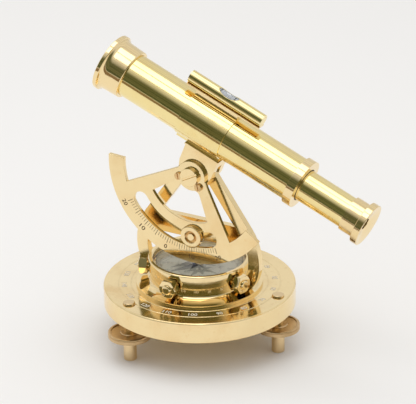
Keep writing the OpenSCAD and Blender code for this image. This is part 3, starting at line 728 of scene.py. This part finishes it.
def soften(piece: Object, width: float, segments: int = 2) -> None:
    """Rounds a piece's sharp edges and smooths what is left.

    Args:
        piece: the piece.
        width: the rounding's width, in the piece's own units.
        segments: faces across the rounding.
    """
    if width > 0:
        apply_modifier(
            piece,
            "BEVEL",
            width=width,
            segments=segments,
            limit_method="ANGLE",
            angle_limit=SOFT_ANGLE,
            use_clamp_overlap=False,
        )
    activate(piece)
    bpy.ops.object.shade_smooth_by_angle(angle=SOFT_ANGLE)
    apply_modifier(piece, "WEIGHTED_NORMAL", keep_sharp=True)


def turn(profile: Profile, steps: int = 96, closed: bool = True) -> Object:
    """Turns a profile about the Z axis, in millimetres.

    Args:
        profile: radius and height of each ring, in order.
        steps: faces around.
        closed: whether the last ring joins the first; otherwise both ends are capped.

    Returns:
        The turned piece, active, with its axis on Z.
    """
    bpy.ops.object.select_all(action="DESELECT")
    radius, height = profile[0]
    bpy.ops.mesh.primitive_circle_add(vertices=steps, radius=radius)
    piece = bpy.context.object
    with editing(piece, "EDGE"):
        bpy.ops.transform.translate(value=(0, 0, height))
        for next_radius, next_height in profile[1:]:
            step = (0, 0, next_height - height)
            bpy.ops.mesh.extrude_region_move(TRANSFORM_OT_translate={"value": step})
            grow = next_radius / radius
            bpy.ops.transform.resize(value=(grow, grow, 1), center_override=(0, 0, next_height))
            radius, height = next_radius, next_height
        if closed:
            bpy.ops.mesh.select_all(action="DESELECT")
            bpy.ops.mesh.select_non_manifold()
            bpy.ops.mesh.bridge_edge_loops()
        else:
            bpy.ops.mesh.select_all(action="SELECT")
            bpy.ops.mesh.fill_holes(sides=0)
        bpy.ops.mesh.select_all(action="SELECT")
        bpy.ops.mesh.normals_make_consistent(inside=False)
    return piece


def ring(inner: float, outer: float, low: float, high: float, steps: int = 96) -> Object:
    """Turns a ring of square section about the Z axis, in millimetres.

    Args:
        inner: radius of its bore.
        outer: radius of its rim.
        low: height of its underside.
        high: height of its top.
        steps: faces around.

    Returns:
        The ring, active.
    """
    return turn(((inner, low), (outer, low), (outer, high), (inner, high)), steps)


def block(size: Vector, middle: Vector) -> Object:
    """Models a small block, in millimetres.

    Args:
        size: its size along each axis.
        middle: its middle.

    Returns:
        The block, active.
    """
    bpy.ops.object.select_all(action="DESELECT")
    bpy.ops.mesh.primitive_cube_add(size=1)
    piece = bpy.context.object
    with editing(piece):
        bpy.ops.transform.resize(value=size)
        bpy.ops.transform.translate(value=middle)
    return piece


def graduate(size: Vector, radius: float, height: float, every: float, span: float) -> Object:
    """Models equal marks on a circle about Z, in millimetres, the middle one at -Y.

    Args:
        size: a mark's width, its length along the radius and its thickness.
        radius: radius of the marks' middles.
        height: height of their middles.
        every: angle from one to the next, in degrees.
        span: angle from the first to the last, in degrees.

    Returns:
        The marks as one piece, active.
    """
    piece = block(size, Vector((0, -radius, height)))
    with editing(piece):
        hub = (0, 0, 0)
        start = math.radians(span / 2)
        bpy.ops.transform.rotate(value=-start, orient_axis="Z", center_override=hub)
        count = round(span / every)
        bpy.ops.mesh.spin(steps=count, dupli=True, angle=2 * start, center=hub, axis=(0, 0, 1))
        bpy.ops.mesh.select_all(action="SELECT")
        bpy.ops.mesh.normals_make_consistent(inside=False)
    return piece


def letter(words: str, size: Point, thickness: float, place: Matrix, bold: float = 0.0) -> Object:
    """Models a numeral or a letter, in millimetres.

    Args:
        words: what it says.
        size: width of one character and height of all, in millimetres.
        thickness: how far it stands out of its frame's XY plane, and how far it is sunk.
        place: its middle and its turn, in millimetres.
        bold: how much its strokes are widened, as a share of its height.

    Returns:
        The characters as a mesh, active.
    """
    bpy.ops.object.select_all(action="DESELECT")
    bpy.ops.object.text_add()
    piece = bpy.context.object
    piece.data.body = words
    piece.data.align_x = "CENTER"
    piece.data.align_y = "CENTER"
    piece.data.resolution_u = 3
    piece.data.extrude = 0.5
    piece.data.offset = bold
    bpy.ops.object.convert(target="MESH")
    piece = bpy.context.object
    corners = [Vector(corner) for corner in piece.bound_box]
    low = Vector(min(c[i] for c in corners) for i in range(3))
    high = Vector(max(c[i] for c in corners) for i in range(3))
    wide = size[0] * len(words) / (high.x - low.x)
    tall = size[1] / (high.y - low.y)
    fit = Matrix.Diagonal((wide, tall, 2 * thickness, 1)) @ Matrix.Translation(-(low + high) / 2)
    piece.matrix_world = place @ fit
    bpy.ops.object.transform_apply(location=True, rotation=True, scale=True)
    return piece


def unite(pieces: Sequence[Object]) -> Object:
    """Joins pieces into the first of them.

    Args:
        pieces: the pieces.

    Returns:
        The joined piece, active.
    """
    activate(pieces[0])
    for piece in pieces:
        piece.select_set(True)
    bpy.ops.object.join()
    return pieces[0]


def around(angle: float, radius: float, height: float, up: float) -> Matrix:
    """Gives a place on a circle about Z, in millimetres.

    Args:
        angle: bearing of the place from +X, in degrees.
        radius: the circle's radius.
        height: its height.
        up: turn of the place's own Y axis from the bearing, in degrees.

    Returns:
        The place.
    """
    spot = Matrix.Rotation(math.radians(angle), 4, "Z") @ Matrix.Translation((radius, 0, height))
    return spot @ Matrix.Rotation(math.radians(up - 90), 4, "Z")


class Workshop:
    """Hands finished pieces over to the frame, with their body and finish."""

    def __init__(self, nodes: dict[str, Object]) -> None:
        """Notes the body and the slot of every CAD node.

        Args:
            nodes: the CAD nodes by name.
        """
        self.nodes = nodes
        self.slots = {name: node.data.materials[0].name for name, node in nodes.items()}
        self.bodies = {name: node.parent.name.split(":")[1] for name, node in nodes.items()}
        self.finishes = make_finishes()

    def paint(self, piece: Object, finish: str) -> None:
        """Gives a piece one finish."""
        piece.data.materials.clear()
        piece.data.materials.append(self.finishes[finish])

    def dress(self, name: str, finish: str) -> None:
        """Gives a CAD node whose shape stays its finish."""
        self.paint(self.nodes[name], finish)
        LOG.info("dressed %s in %s", name, finish)

    def keep(self, piece: Object, finish: str, body: Body) -> Object:
        """Finishes a piece that stands for no node.

        Args:
            piece: the piece, in its place.
            finish: its finish.
            body: the body it moves with.

        Returns:
            The piece.
        """
        self.paint(piece, finish)
        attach(piece, body.value)
        LOG.info("added %s on %s, %d faces", piece.name, body.value, len(piece.data.polygons))
        return piece

    def stand_in(self, piece: Object, finish: str, node: str) -> Object:
        """Finishes a piece that stands for a node.

        Args:
            piece: the piece, in its place.
            finish: its finish.
            node: the node it stands for.

        Returns:
            The piece.
        """
        self.paint(piece, finish)
        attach(piece, self.bodies[node])
        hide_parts(node)
        LOG.info("%s stands for %s, %d faces", piece.name, node, len(piece.data.polygons))
        return piece

    def copy(self, node: str) -> Object:
        """Copies a node's mesh, merged and with its flat faces joined.

        Args:
            node: the node's name.

        Returns:
            The copy, in metres.
        """
        piece = bpy.data.objects.new(node + "_skin", self.nodes[node].data.copy())
        bpy.context.scene.collection.objects.link(piece)
        with editing(piece):
            bpy.ops.mesh.remove_doubles(threshold=MERGE_DISTANCE)
            bpy.ops.mesh.dissolve_limited(angle_limit=FLAT_ANGLE)
        return piece

    def refine(self, node: str, finish: str, width: float = 0.12, segments: int = 2) -> Object:
        """Stands a copy of a node with rounded edges in its place.

        Args:
            node: the node's name.
            finish: its finish.
            width: the rounding's width, in millimetres.
            segments: faces across the rounding.

        Returns:
            The piece.
        """
        piece = self.copy(node)
        soften(piece, width * MM, segments)
        return self.stand_in(piece, finish, node)


@dataclass
class Base:
    """The base with its numerals, and the levelling screws under it."""

    top: float = 31.4
    figure_r: float = 39.2
    figure_size: Point = (1.5, 2.6)
    figure_t: float = 0.05
    edge_grow: float = 1.1
    edge_bold: float = 0.02
    edge_t: float = 0.03
    first_bearing: float = 134.2
    figure_step: int = 10
    figure_end: int = 180
    screw_circle_r: float = 44.3
    screw_bearing: float = 4.6
    wheel_low: float = 12.7
    wheel_t: float = 3.1
    wheel_r: float = 11.25
    wheel_bore: float = 3.15
    hub_r: float = 4.6
    hub_foot_r: float = 5.0
    lip_t: float = 0.8
    dish: float = 0.45

    def build(self, shop: Workshop) -> None:
        """Makes the base's pieces."""
        shop.refine("base_plate", "base", 0.14)
        self.number(shop)
        for index in (1, 2, 3):
            shop.refine(f"levelling_stem_{index}", "stem", 0.25, 3)
        self.fit_wheels(shop)
        for name in ("swivel_bolt", "swivel_washer", "swivel_nut"):
            shop.refine(name, "satin", 0.1)

    def number(self, shop: Workshop) -> None:
        """Puts the scale's numerals between the base's two circles."""
        wide, tall = self.figure_size
        layers = (
            ("base_numerals", "figure", 0.0, self.figure_t, 1.0),
            ("base_numeral_edges", "cut", self.edge_bold, self.edge_t, self.edge_grow),
        )
        for name, finish, bold, thickness, grow in layers:
            size = (wide * grow, tall * grow)
            figures = []
            for label in range(0, self.figure_end, self.figure_step):
                spot = around(self.first_bearing - 2 * label, self.figure_r, self.top, 180)
                figures.append(letter(str(label), size, thickness, spot, bold))
            piece = settle(unite(figures), upright(), name)
            shop.keep(piece, finish, Body.BASE)

    def turn_wheel(self) -> Object:
        """Turns a levelling wheel with a lip round its rim and a dished top, on the Z axis."""
        bore, hub, foot, rim = self.wheel_bore, self.hub_r, self.hub_foot_r, self.wheel_r
        low, high = self.wheel_low, self.wheel_low + self.wheel_t
        web, lip, dish = low + 0.3, high - self.lip_t, high - self.dish
        profile = (
            (bore, low), (hub, low), (foot, web), (rim - 1.9, web), (rim - 1.5, low),
            (rim - 0.55, low), (rim - 0.12, low + 0.2), (rim, low + 0.5), (rim, lip - 0.3),
            (rim - 0.22, lip - 0.2), (rim - 0.22, lip), (rim, lip + 0.1), (rim, high - 0.45),
            (rim - 0.14, high - 0.14), (rim - 0.5, high), (rim - 1.3, high), (rim - 1.8, dish),
            (foot, dish), (hub, high), (bore, high),
        )
        piece = turn(profile)
        soften(piece, 0)
        return piece

    def fit_wheels(self, shop: Workshop) -> None:
        """Models one levelling wheel, and puts a copy with its own mesh on each stem."""
        model = self.turn_wheel()
        for index in (1, 2, 3):
            bearing = math.radians(self.screw_bearing + 120 * (index - 1))
            spot = Vector((math.cos(bearing), math.sin(bearing), 0)) * self.screw_circle_r * MM
            piece = settle(duplicate(model), Matrix.Translation(spot), f"wheel_{index}_skin")
            shop.stand_in(piece, "satin", f"levelling_wheel_{index}")
        bpy.data.objects.remove(model)


@dataclass
class Compass:
    """The compass box with its card, needle, glass, studs and nuts."""

    card_top: float = 38.4
    print_t: float = 0.03
    circles: tuple[Point, ...] = ((22.3, 0.3), (20.1, 0.15), (10.8, 0.15))
    tick_size: Point = (0.16, 2.2)
    tick_r: float = 21.3
    tick_every: float = 5.0
    label_tick_size: Point = (0.3, 2.9)
    label_tick_r: float = 21.0
    label_every: int = 30
    figure_r: float = 17.6
    figure_size: Point = (1.15, 1.9)
    point_r: float = 13.0
    point_size: Point = (2.2, 2.8)
    rose_r: float = 10.5
    rose_hub_r: float = 1.9
    rose_notch: float = 0.36
    rose_short: float = 0.68
    nut_bearings: tuple[float, ...] = (-14.0, -93.0, -161.0, 90.0)
    nut_z: float = 39.4
    nut_from: float = 27.0
    nut_t: float = 4.4
    nut_r: float = 5.2
    nut_bore: float = 2.62
    nut_chamfer: float = 0.06
    nut_over: float = 0.05
    nut_slope: float = 0.5
    cone_over: float = 0.2

    def build(self, shop: Workshop) -> None:
        """Makes the compass's pieces."""
        shop.refine("compass_box", "turned", 0.12)
        shop.refine("bezel_ring", "turned", 0.12)
        shop.dress("compass_bowl", "turned")
        shop.dress("compass_dial", "card")
        shop.refine("compass_needle", "needle", 0.06)
        shop.refine("needle_cap", "turned", 0.15, 3)
        shop.dress("needle_pin", "blued")
        shop.refine("compass_glass", "glass", 0.1)
        shop.refine("box_studs", "turned", 0.18, 3)
        self.print_card(shop)
        self.fit_nuts(shop)

    def print_card(self, shop: Workshop) -> None:
        """Prints the card's circles, marks, numerals, points and rose."""
        middle, thick = self.card_top, 2 * self.print_t
        low, high = middle - self.print_t, middle + self.print_t
        marks = [ring(radius, radius + width, low, high, 128) for radius, width in self.circles]
        ticks = (
            (self.tick_size, self.tick_r, self.tick_every),
            (self.label_tick_size, self.label_tick_r, self.label_every),
        )
        for size, radius, every in ticks:
            marks.append(graduate(Vector((*size, thick)), radius, middle, every, 360 - every))
        for label in range(0, 360, self.label_every):
            spot = around(90 - label, self.figure_r, middle, 90)
            marks.append(letter(str(label), self.figure_size, self.print_t, spot))
        for quarter, name in enumerate("NESW"):
            spot = around(90 - 90 * quarter, self.point_r, middle, 90)
            marks.append(letter(name, self.point_size, self.print_t, spot))
        marks.append(self.draw_rose(low))
        piece = settle(unite(marks), upright(), "dial_print")
        shop.keep(piece, "ink", Body.TURRET)

    def draw_rose(self, low: float) -> Object:
        """Cuts the rose's eight points out of a sixteen-sided ring.

        Args:
            low: height of its underside.

        Returns:
            The rose, active.
        """
        rose = ring(self.rose_hub_r, self.rose_r, low, low + 2 * self.print_t, 16)
        near = self.rose_r - 0.1
        with editing(rose):
            for every, first, grow in ((2, 1, self.rose_notch), (4, 2, self.rose_short)):
                select_points(rose, lambda i, co: i % every == first and co.xy.length > near)
                bpy.ops.transform.resize(value=(grow, grow, 1), center_override=(0, 0, low))
        return rose

    def fit_nuts(self, shop: Workshop) -> None:
        """Models one hexagon nut with chamfered corners, and fits four."""
        corner, thick = self.nut_r, self.nut_t
        bpy.ops.object.select_all(action="DESELECT")
        bpy.ops.mesh.primitive_cylinder_add(
            vertices=6, radius=corner, depth=thick, location=(0, 0, thick / 2)
        )
        nut = bpy.context.object
        bpy.ops.object.transform_apply(location=True, rotation=True, scale=True)
        flat = corner * math.cos(math.pi / 6) - self.nut_chamfer
        wide = corner + self.nut_over
        drop, over = (wide - flat) * self.nut_slope, self.cone_over
        end = flat - over / self.nut_slope
        cone = ((end, -over), (wide, drop), (wide, thick - drop), (end, thick + over))
        barrel = turn(cone, 72, closed=False)
        bore = turn(((self.nut_bore, -1), (self.nut_bore, thick + 1)), 48, closed=False)
        for tool, way in ((barrel, "INTERSECT"), (bore, "DIFFERENCE")):
            apply_modifier(nut, "BOOLEAN", object=tool, operation=way, solver="EXACT")
            bpy.data.objects.remove(tool)
        soften(nut, 0.08)
        out = Matrix.Translation(Vector((self.nut_from, 0, self.nut_z)) * MM)
        lay = Matrix.Rotation(math.pi / 2, 4, "Y")
        nuts = []
        for bearing in self.nut_bearings:
            spot = Matrix.Rotation(math.radians(bearing), 4, "Z") @ out @ lay
            nuts.append(settle(duplicate(nut), spot, "nut"))
        bpy.data.objects.remove(nut)
        whole = unite(nuts)
        whole.name = whole.data.name = "box_nuts_skin"
        shop.stand_in(whole, "turned", "box_nuts")


@dataclass
class Stand:
    """The standing frame with its clamp."""

    knob_low: float = 7.8
    knob_high: float = 10.5
    knob_r: float = 6.1
    dish_r: float = 3.3
    dish_t: float = 1.0
    bore_r: float = 2.0
    ridges: int = 34
    ridge_depth: float = 0.94
    # thickness of the ring of painted shade on the floor of the knob's dish
    patina_t: float = 0.04

    def build(self, shop: Workshop) -> None:
        """Makes the stand's pieces."""
        shop.refine("frame", "stand", 0.16)
        shop.refine("clamp_collar", "knob", 0.12)
        shop.refine("clamp_stud", "knob", 0.2, 3)
        shop.dress("frame_screws", "turned")
        self.knurl_knob(shop)

    def knurl_knob(self, shop: Workshop) -> None:
        """Turns the clamp's knob, knurls its side and lays a ring of painted shade on its dish's
        floor.
        """
        bore, rim, dish = self.bore_r, self.knob_r, self.dish_r
        low, high = self.knob_low, self.knob_high
        floor = high - self.dish_t
        side_low, side_high = low + 0.45, high - 0.5
        profile = (
            (bore, low), (rim - 0.7, low), (rim - 0.3, low + 0.15), (rim, side_low),
            (rim, side_high), (rim - 0.3, high - 0.12), (rim - 0.75, high), (dish + 0.25, high),
            (dish, high - 0.2), (dish - 0.1, floor + 0.15), (dish - 0.35, floor), (bore, floor),
        )
        piece = turn(profile, 2 * self.ridges)
        with editing(piece):
            rims = (round(side_low, 4), round(side_high, 4))
            select_points(piece, lambda i, co: i % 2 == 1 and round(co.z, 4) in rims)
            shrink = (self.ridge_depth, self.ridge_depth, 1)
            bpy.ops.transform.resize(value=shrink, center_override=(0, 0, 0))
        soften(piece, 0.03, 1)
        place = across_frame(*CLAMP_AXIS)
        shop.stand_in(settle(piece, place, "clamp_knob_skin"), "knob", "clamp_knob")
        # A dark brass ring on the dish's floor, round the stud, is painted shade for the hollow of
        # the dish.
        dish_shade_ring = ring(bore + 0.02, dish - 0.36, floor, floor + self.patina_t, 64)
        shop.keep(settle(dish_shade_ring, place, "knob_dish_patina"), "dish", Body.KNOB)


@dataclass
class Cradle:
    """The fork, the divided arc, the tilt axis and the sleeve that holds the telescope."""

    face: float = 7.8
    mark_from: float = 39.9
    mark_to: float = 42.4
    mark_every: float = 2.0
    mark_w: float = 0.22
    long_to: float = 43.3
    long_every: float = 10.0
    long_w: float = 0.28
    mark_t: float = 0.06
    half_span: int = 40
    figure_every: int = 20
    figure_r: float = 45.4
    figure_size: Point = (1.75, 2.4)
    figure_bold: float = 0.012
    slot_turn: float = 80.0

    def build(self, shop: Workshop) -> None:
        """Makes the cradle's pieces."""
        shop.refine("arc", "arc", 0.14)
        shop.refine("fork", "plate", 0.2)
        shop.refine("saddle_plate", "plate", 0.1)
        shop.refine("clamp_sleeve", "sleeve", 0.1)
        shop.refine("arc_screws", "small_screw", 0.14, 3)
        shop.refine("pivot_nut", "screw", 0.15)
        shop.refine("pivot_washer", "screw", 0.12)
        shop.dress("saddle_screws", "screw")
        self.set_screw(shop)
        self.divide(shop)

    def set_screw(self, shop: Workshop) -> None:
        """Turns the pivot screw's slot to the way it stands in the photograph."""
        screw = shop.copy("pivot_screw")
        with editing(screw):
            angle = math.radians(self.slot_turn)
            bpy.ops.transform.rotate(value=angle, orient_axis="Y", center_override=PIVOT)
        soften(screw, 0.18 * MM, 3)
        shop.stand_in(screw, "screw", "pivot_screw")

    def divide(self, shop: Workshop) -> None:
        """Cuts the arc's marks and its numerals."""
        kinds = (
            (self.mark_to, self.mark_every, self.mark_w),
            (self.long_to, self.long_every, self.long_w),
        )
        marks = []
        for end, every, width in kinds:
            middle = (self.mark_from + end) / 2
            size = Vector((width, end - self.mark_from, self.mark_t))
            marks.append(graduate(size, middle, self.face, every, 2 * self.half_span))
        figures = []
        for angle in range(-self.half_span, self.half_span + 1, self.figure_every):
            spot = around(angle - 90, self.figure_r, self.face, 180)
            label = str(abs(angle) // 2)
            figures.append(letter(label, self.figure_size, self.mark_t / 2, spot, self.figure_bold))
        for pieces, name in ((marks, "arc_marks"), (figures, "arc_numerals")):
            whole = settle(unite(pieces), on_arc(), name)
            shop.keep(whole, "cut", Body.TELESCOPE)


@dataclass
class Telescope:
    """The telescope's tube, objective, draw tube and eyepiece."""

    lining_r: float = 10.82
    lining_wall: float = 0.04
    lining_half: float = 48.0
    gap_from: float = 8.46
    gap_to: float = 9.0
    gap_at: float = 54.8
    gap_t: float = 0.04

    def build(self, shop: Workshop) -> None:
        """Makes the telescope's pieces."""
        shop.refine("main_tube", "barrel", 0.08)
        shop.refine("objective_cell", "cell", 0.14)
        shop.refine("tube_end_ring", "cell", 0.14)
        shop.refine("draw_tube", "barrel", 0.08)
        shop.refine("eyepiece_cell", "cell", 0.1)
        shop.refine("eye_cup", "cell", 0.14)
        shop.dress("lens_ring", "black")
        shop.dress("draw_guide", "barrel")
        shop.dress("objective_lens", "coated")
        shop.dress("eyepiece_lens", "coated")
        place = along_telescope(TUBE_HEIGHT)
        outer, inner = self.lining_r, self.lining_r - self.lining_wall
        front, back = -self.lining_half, self.lining_half
        lining = turn(((outer, front), (outer, back), (inner, back), (inner, front)))
        soften(lining, 0)
        shop.keep(settle(lining, place, "tube_lining"), "black", Body.TELESCOPE)
        # A thin dark ring where the draw tube enters the end ring is painted shade.
        near, far = self.gap_at - self.gap_t, self.gap_at + self.gap_t
        edge = ring(self.gap_from, self.gap_to, near, far)
        shop.keep(settle(edge, place, "draw_edge_shade"), "cut", Body.TELESCOPE)


@dataclass
class Level:
    """The spirit level on its rail."""

    vial_r: float = 3.0
    vial_half: float = 14.95
    bore_r: float = 3.04
    bore_over: float = 0.05
    spirit_r: float = 2.75
    spirit_short: float = 0.4
    bubble_half: float = 3.4
    bubble_r: float = 1.0
    bubble_up: float = 1.85
    bubble_rings: int = 12
    line_at: float = 4.3
    line_w: float = 0.35
    line_deep: float = 0.03
    line_proud: float = 0.02
    middle: float = 0.35

    def build(self, shop: Workshop) -> None:
        """Makes the level's pieces."""
        shop.refine("level_plugs", "level", 0.08)
        shop.refine("level_rail", "plate", 0.1)
        shop.refine("level_post", "plate", 0.1)
        self.bore_tube(shop, self.vial_frame())
        vial = self.fill_capsule(self.vial_r, self.vial_half)
        shop.stand_in(settle(vial, self.vial_frame(), "level_vial_skin"), "vial", "level_vial")
        fillings = (
            (self.fill_spirit, "level_spirit", "spirit", 0.0),
            (self.blow_bubble, "level_bubble", "bubble", self.bubble_up),
            (self.draw_lines, "level_lines", "ink", 0.0),
        )
        for make, name, finish, up in fillings:
            piece = settle(make(), self.vial_frame(up), name)
            shop.keep(piece, finish, Body.TELESCOPE)

    def vial_frame(self, up: float = 0.0) -> Matrix:
        """Gives the frame of what lies in the vial.

        Args:
            up: distance of its axis over the vial's, in millimetres.

        Returns:
            A matrix whose Z runs along the vial and whose origin is in its middle.
        """
        shift = Matrix.Translation((0, 0, -self.middle * MM))
        return along_telescope(LEVEL_HEIGHT + up * MM) @ shift

    def fill_spirit(self) -> Object:
        """Returns the spirit, which nearly fills the vial."""
        return self.fill_capsule(self.spirit_r, self.vial_half - self.spirit_short)

    def blow_bubble(self) -> Object:
        """Returns the long bubble under the vial's top."""
        long, small, count = self.bubble_half, self.bubble_r, self.bubble_rings
        angles = [math.pi * k / count for k in range(1, count)]
        profile = [(small * math.sin(angle), -long * math.cos(angle)) for angle in angles]
        bubble = turn(profile, 32, closed=False)
        soften(bubble, 0)
        return bubble

    def draw_lines(self) -> Object:
        """Returns the two lines round the vial that the bubble comes to rest between."""
        near, far = self.vial_r - self.line_deep, self.vial_r + self.line_proud
        half = self.line_w / 2
        places = (-self.line_at, self.line_at)
        return unite([ring(near, far, at - half, at + half, 48) for at in places])

    def bore_tube(self, shop: Workshop, frame: Matrix) -> None:
        """Bores the level's tube out to a thin wall round the vial.

        Args:
            shop: the workshop.
            frame: the vial's frame.
        """
        tube = shop.copy("level_tube")
        end = self.vial_half + self.bore_over
        drill = turn(((self.bore_r, -end), (self.bore_r, end)), 72, closed=False)
        settle(drill, frame, "drill")
        apply_modifier(tube, "BOOLEAN", object=drill, operation="DIFFERENCE", solver="EXACT")
        bpy.data.objects.remove(drill)
        soften(tube, 0.07 * MM)
        shop.stand_in(tube, "level", "level_tube")

    def fill_capsule(self, radius: float, half: float) -> Object:
        """Turns a closed capsule.

        Args:
            radius: its radius.
            half: half its length.

        Returns:
            The capsule, active.
        """
        ends = ((0.5 * radius, 0.0), (0.85 * radius, 0.4), (radius, 1.0))
        low = [(r, up - half) for r, up in ends]
        capsule = turn(low + [(r, half - up) for r, up in reversed(ends)], 64, closed=False)
        soften(capsule, 0)
        return capsule


@dataclass
class Studio:
    """The floor, the light and the camera."""

    target: Vector = Vector((4.22, 2.38, 76.46)) * MM
    eye: Vector = Vector((720.4, -1267.7, 735.2)) * MM
    roll: float = math.radians(-0.73)
    lens: float = 269.6
    floor_front: float = 0.42
    floor_back: float = 1.2
    floor_half: float = 0.9
    floor_colour: Colour = (0.865, 0.86, 0.85)
    box_size: Point = (0.85, 0.38)
    box_x: float = -0.12
    box_rows: tuple[float, ...] = (-0.31, 0.15)
    box_height: float = 0.95
    box_power: float = 1.25
    fill: Colour = (1.06, 1.05, 1.04)
    fill_low: Colour = (0.03, 0.02, 0.01)
    dark: Colour = (0.06, 0.075, 0.03)
    dim: Colour = (0.17, 0.175, 0.10)
    low: Colour = (0.24, 0.17, 0.10)
    sky: Colour = (0.86, 0.855, 0.84)
    back: Colour = (0.875, 0.865, 0.84)
    front_way: Point = (0.30, -0.95)
    front_edge: Point = (0.05, 0.60)
    room_foot: Point = (-0.10, -0.03)
    room_top: Point = (0.50, 0.82)
    low_edge: Point = (-0.14, -0.06)
    fill_edge: Point = (0.02, 0.80)
    streaks: Colour = (0.8, 0.8, 9.0)
    streak_scale: float = 1.6
    streak_dim: float = 0.74
    sensor: float = 36.0
    clip: Point = (0.05, 20.0)

    def build(self) -> None:
        """Makes everything in the studio."""
        self.lay_floor()
        self.hang_softbox()
        self.make_room()
        self.set_camera()

    def lay_floor(self) -> None:
        """Lays the pale table that the object stands on."""
        bpy.ops.object.select_all(action="DESELECT")
        middle = (self.floor_back - self.floor_front) / 2
        bpy.ops.mesh.primitive_plane_add(size=1, location=(0, middle, 0))
        floor = bpy.context.object
        floor.name = "table"
        floor.scale = (2 * self.floor_half, self.floor_back + self.floor_front, 1)
        bpy.ops.object.transform_apply(location=True, rotation=False, scale=True)
        material = bpy.data.materials.new("table_paper")
        material.use_nodes = True
        skin = material.node_tree.nodes["Principled BSDF"]
        skin.inputs["Base Color"].default_value = (*self.floor_colour, 1)
        skin.inputs["Roughness"].default_value = 0.9
        skin.inputs["Specular IOR Level"].default_value = 0.1
        floor.data.materials.append(material)

    def hang_softbox(self) -> None:
        """Hangs the softbox's two panes over the object."""
        for index, y in enumerate(self.box_rows):
            bpy.ops.object.light_add(type="AREA", location=(self.box_x, y, self.box_height))
            lamp = bpy.context.object
            lamp.name = f"softbox_{index + 1}"
            lamp.data.shape = "RECTANGLE"
            lamp.data.size, lamp.data.size_y = self.box_size
            lamp.data.energy = self.box_power

    def make_room(self) -> None:
        """Writes the room round the table: a pale sweep behind, a dark room in front."""
        world = bpy.data.worlds.new("studio_room")
        bpy.context.scene.world = world
        world.use_nodes = True
        w = NodeWriter(world.node_tree)
        out = w.add("OutputWorld")
        ways = w.add("LightPath")
        where = w.add("TexCoord")
        split = w.add("SeparateXYZ")
        w.link(where.outputs["Generated"], split.inputs[0])
        x, y, z = split.outputs
        across, along = self.front_way
        ahead = w.math("ADD", w.math("MULTIPLY", x, across), w.math("MULTIPLY", y, along))
        front = w.ramp(ahead, *self.front_edge)
        over = w.ramp(z, *self.room_foot)
        under = w.math("SUBTRACT", 1.0, w.ramp(z, *self.room_top))
        dark = w.math("MULTIPLY", w.math("MULTIPLY", front, over), under)
        low = w.math("SUBTRACT", 1.0, w.ramp(z, *self.low_edge))
        shelves = w.add("Mapping")
        w.link(where.outputs["Generated"], shelves.inputs["Vector"])
        shelves.inputs["Scale"].default_value = self.streaks
        things = w.ramp(w.noise(shelves.outputs[0], self.streak_scale, 3.0), 0.35, 0.65)
        pale = w.mix(things, self.sky, tuple(self.streak_dim * c for c in self.sky))
        room = w.mix(dark, pale, w.mix(things, self.dark, self.dim))
        room = w.mix(low, room, self.low)
        fill = w.mix(w.ramp(z, *self.fill_edge), self.fill_low, self.fill)
        seen = w.mix(ways.outputs["Is Camera Ray"], fill, self.back)
        shown = w.mix(ways.outputs["Is Glossy Ray"], seen, room)
        glow = w.add("Background")
        w.link(shown, glow.inputs[0])
        w.link(glow.outputs[0], out.inputs[0])

    def set_camera(self) -> None:
        """Puts the camera where the photograph was taken from."""
        data = bpy.data.cameras.new("camera")
        data.lens = self.lens
        data.sensor_width = self.sensor
        data.clip_start, data.clip_end = self.clip
        camera = bpy.data.objects.new("camera", data)
        bpy.context.scene.collection.objects.link(camera)
        aim = (self.target - self.eye).to_track_quat("-Z", "Y").to_matrix().to_4x4()
        roll = Matrix.Rotation(self.roll, 4, "Z")
        camera.matrix_world = Matrix.Translation(self.eye) @ aim @ roll
        bpy.context.scene.camera = camera


def main() -> None:
    """Builds the scene."""
    logging.basicConfig(level=logging.INFO, format="%(name)s: %(message)s")
    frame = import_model()
    bpy.context.scene.view_settings.view_transform = "Standard"
    shop = Workshop(frame["nodes"])
    for assembly in (Base(), Compass(), Stand(), Cradle(), Telescope(), Level()):
        assembly.build(shop)
    Studio().build()


if __name__ == "__main__":
    main()
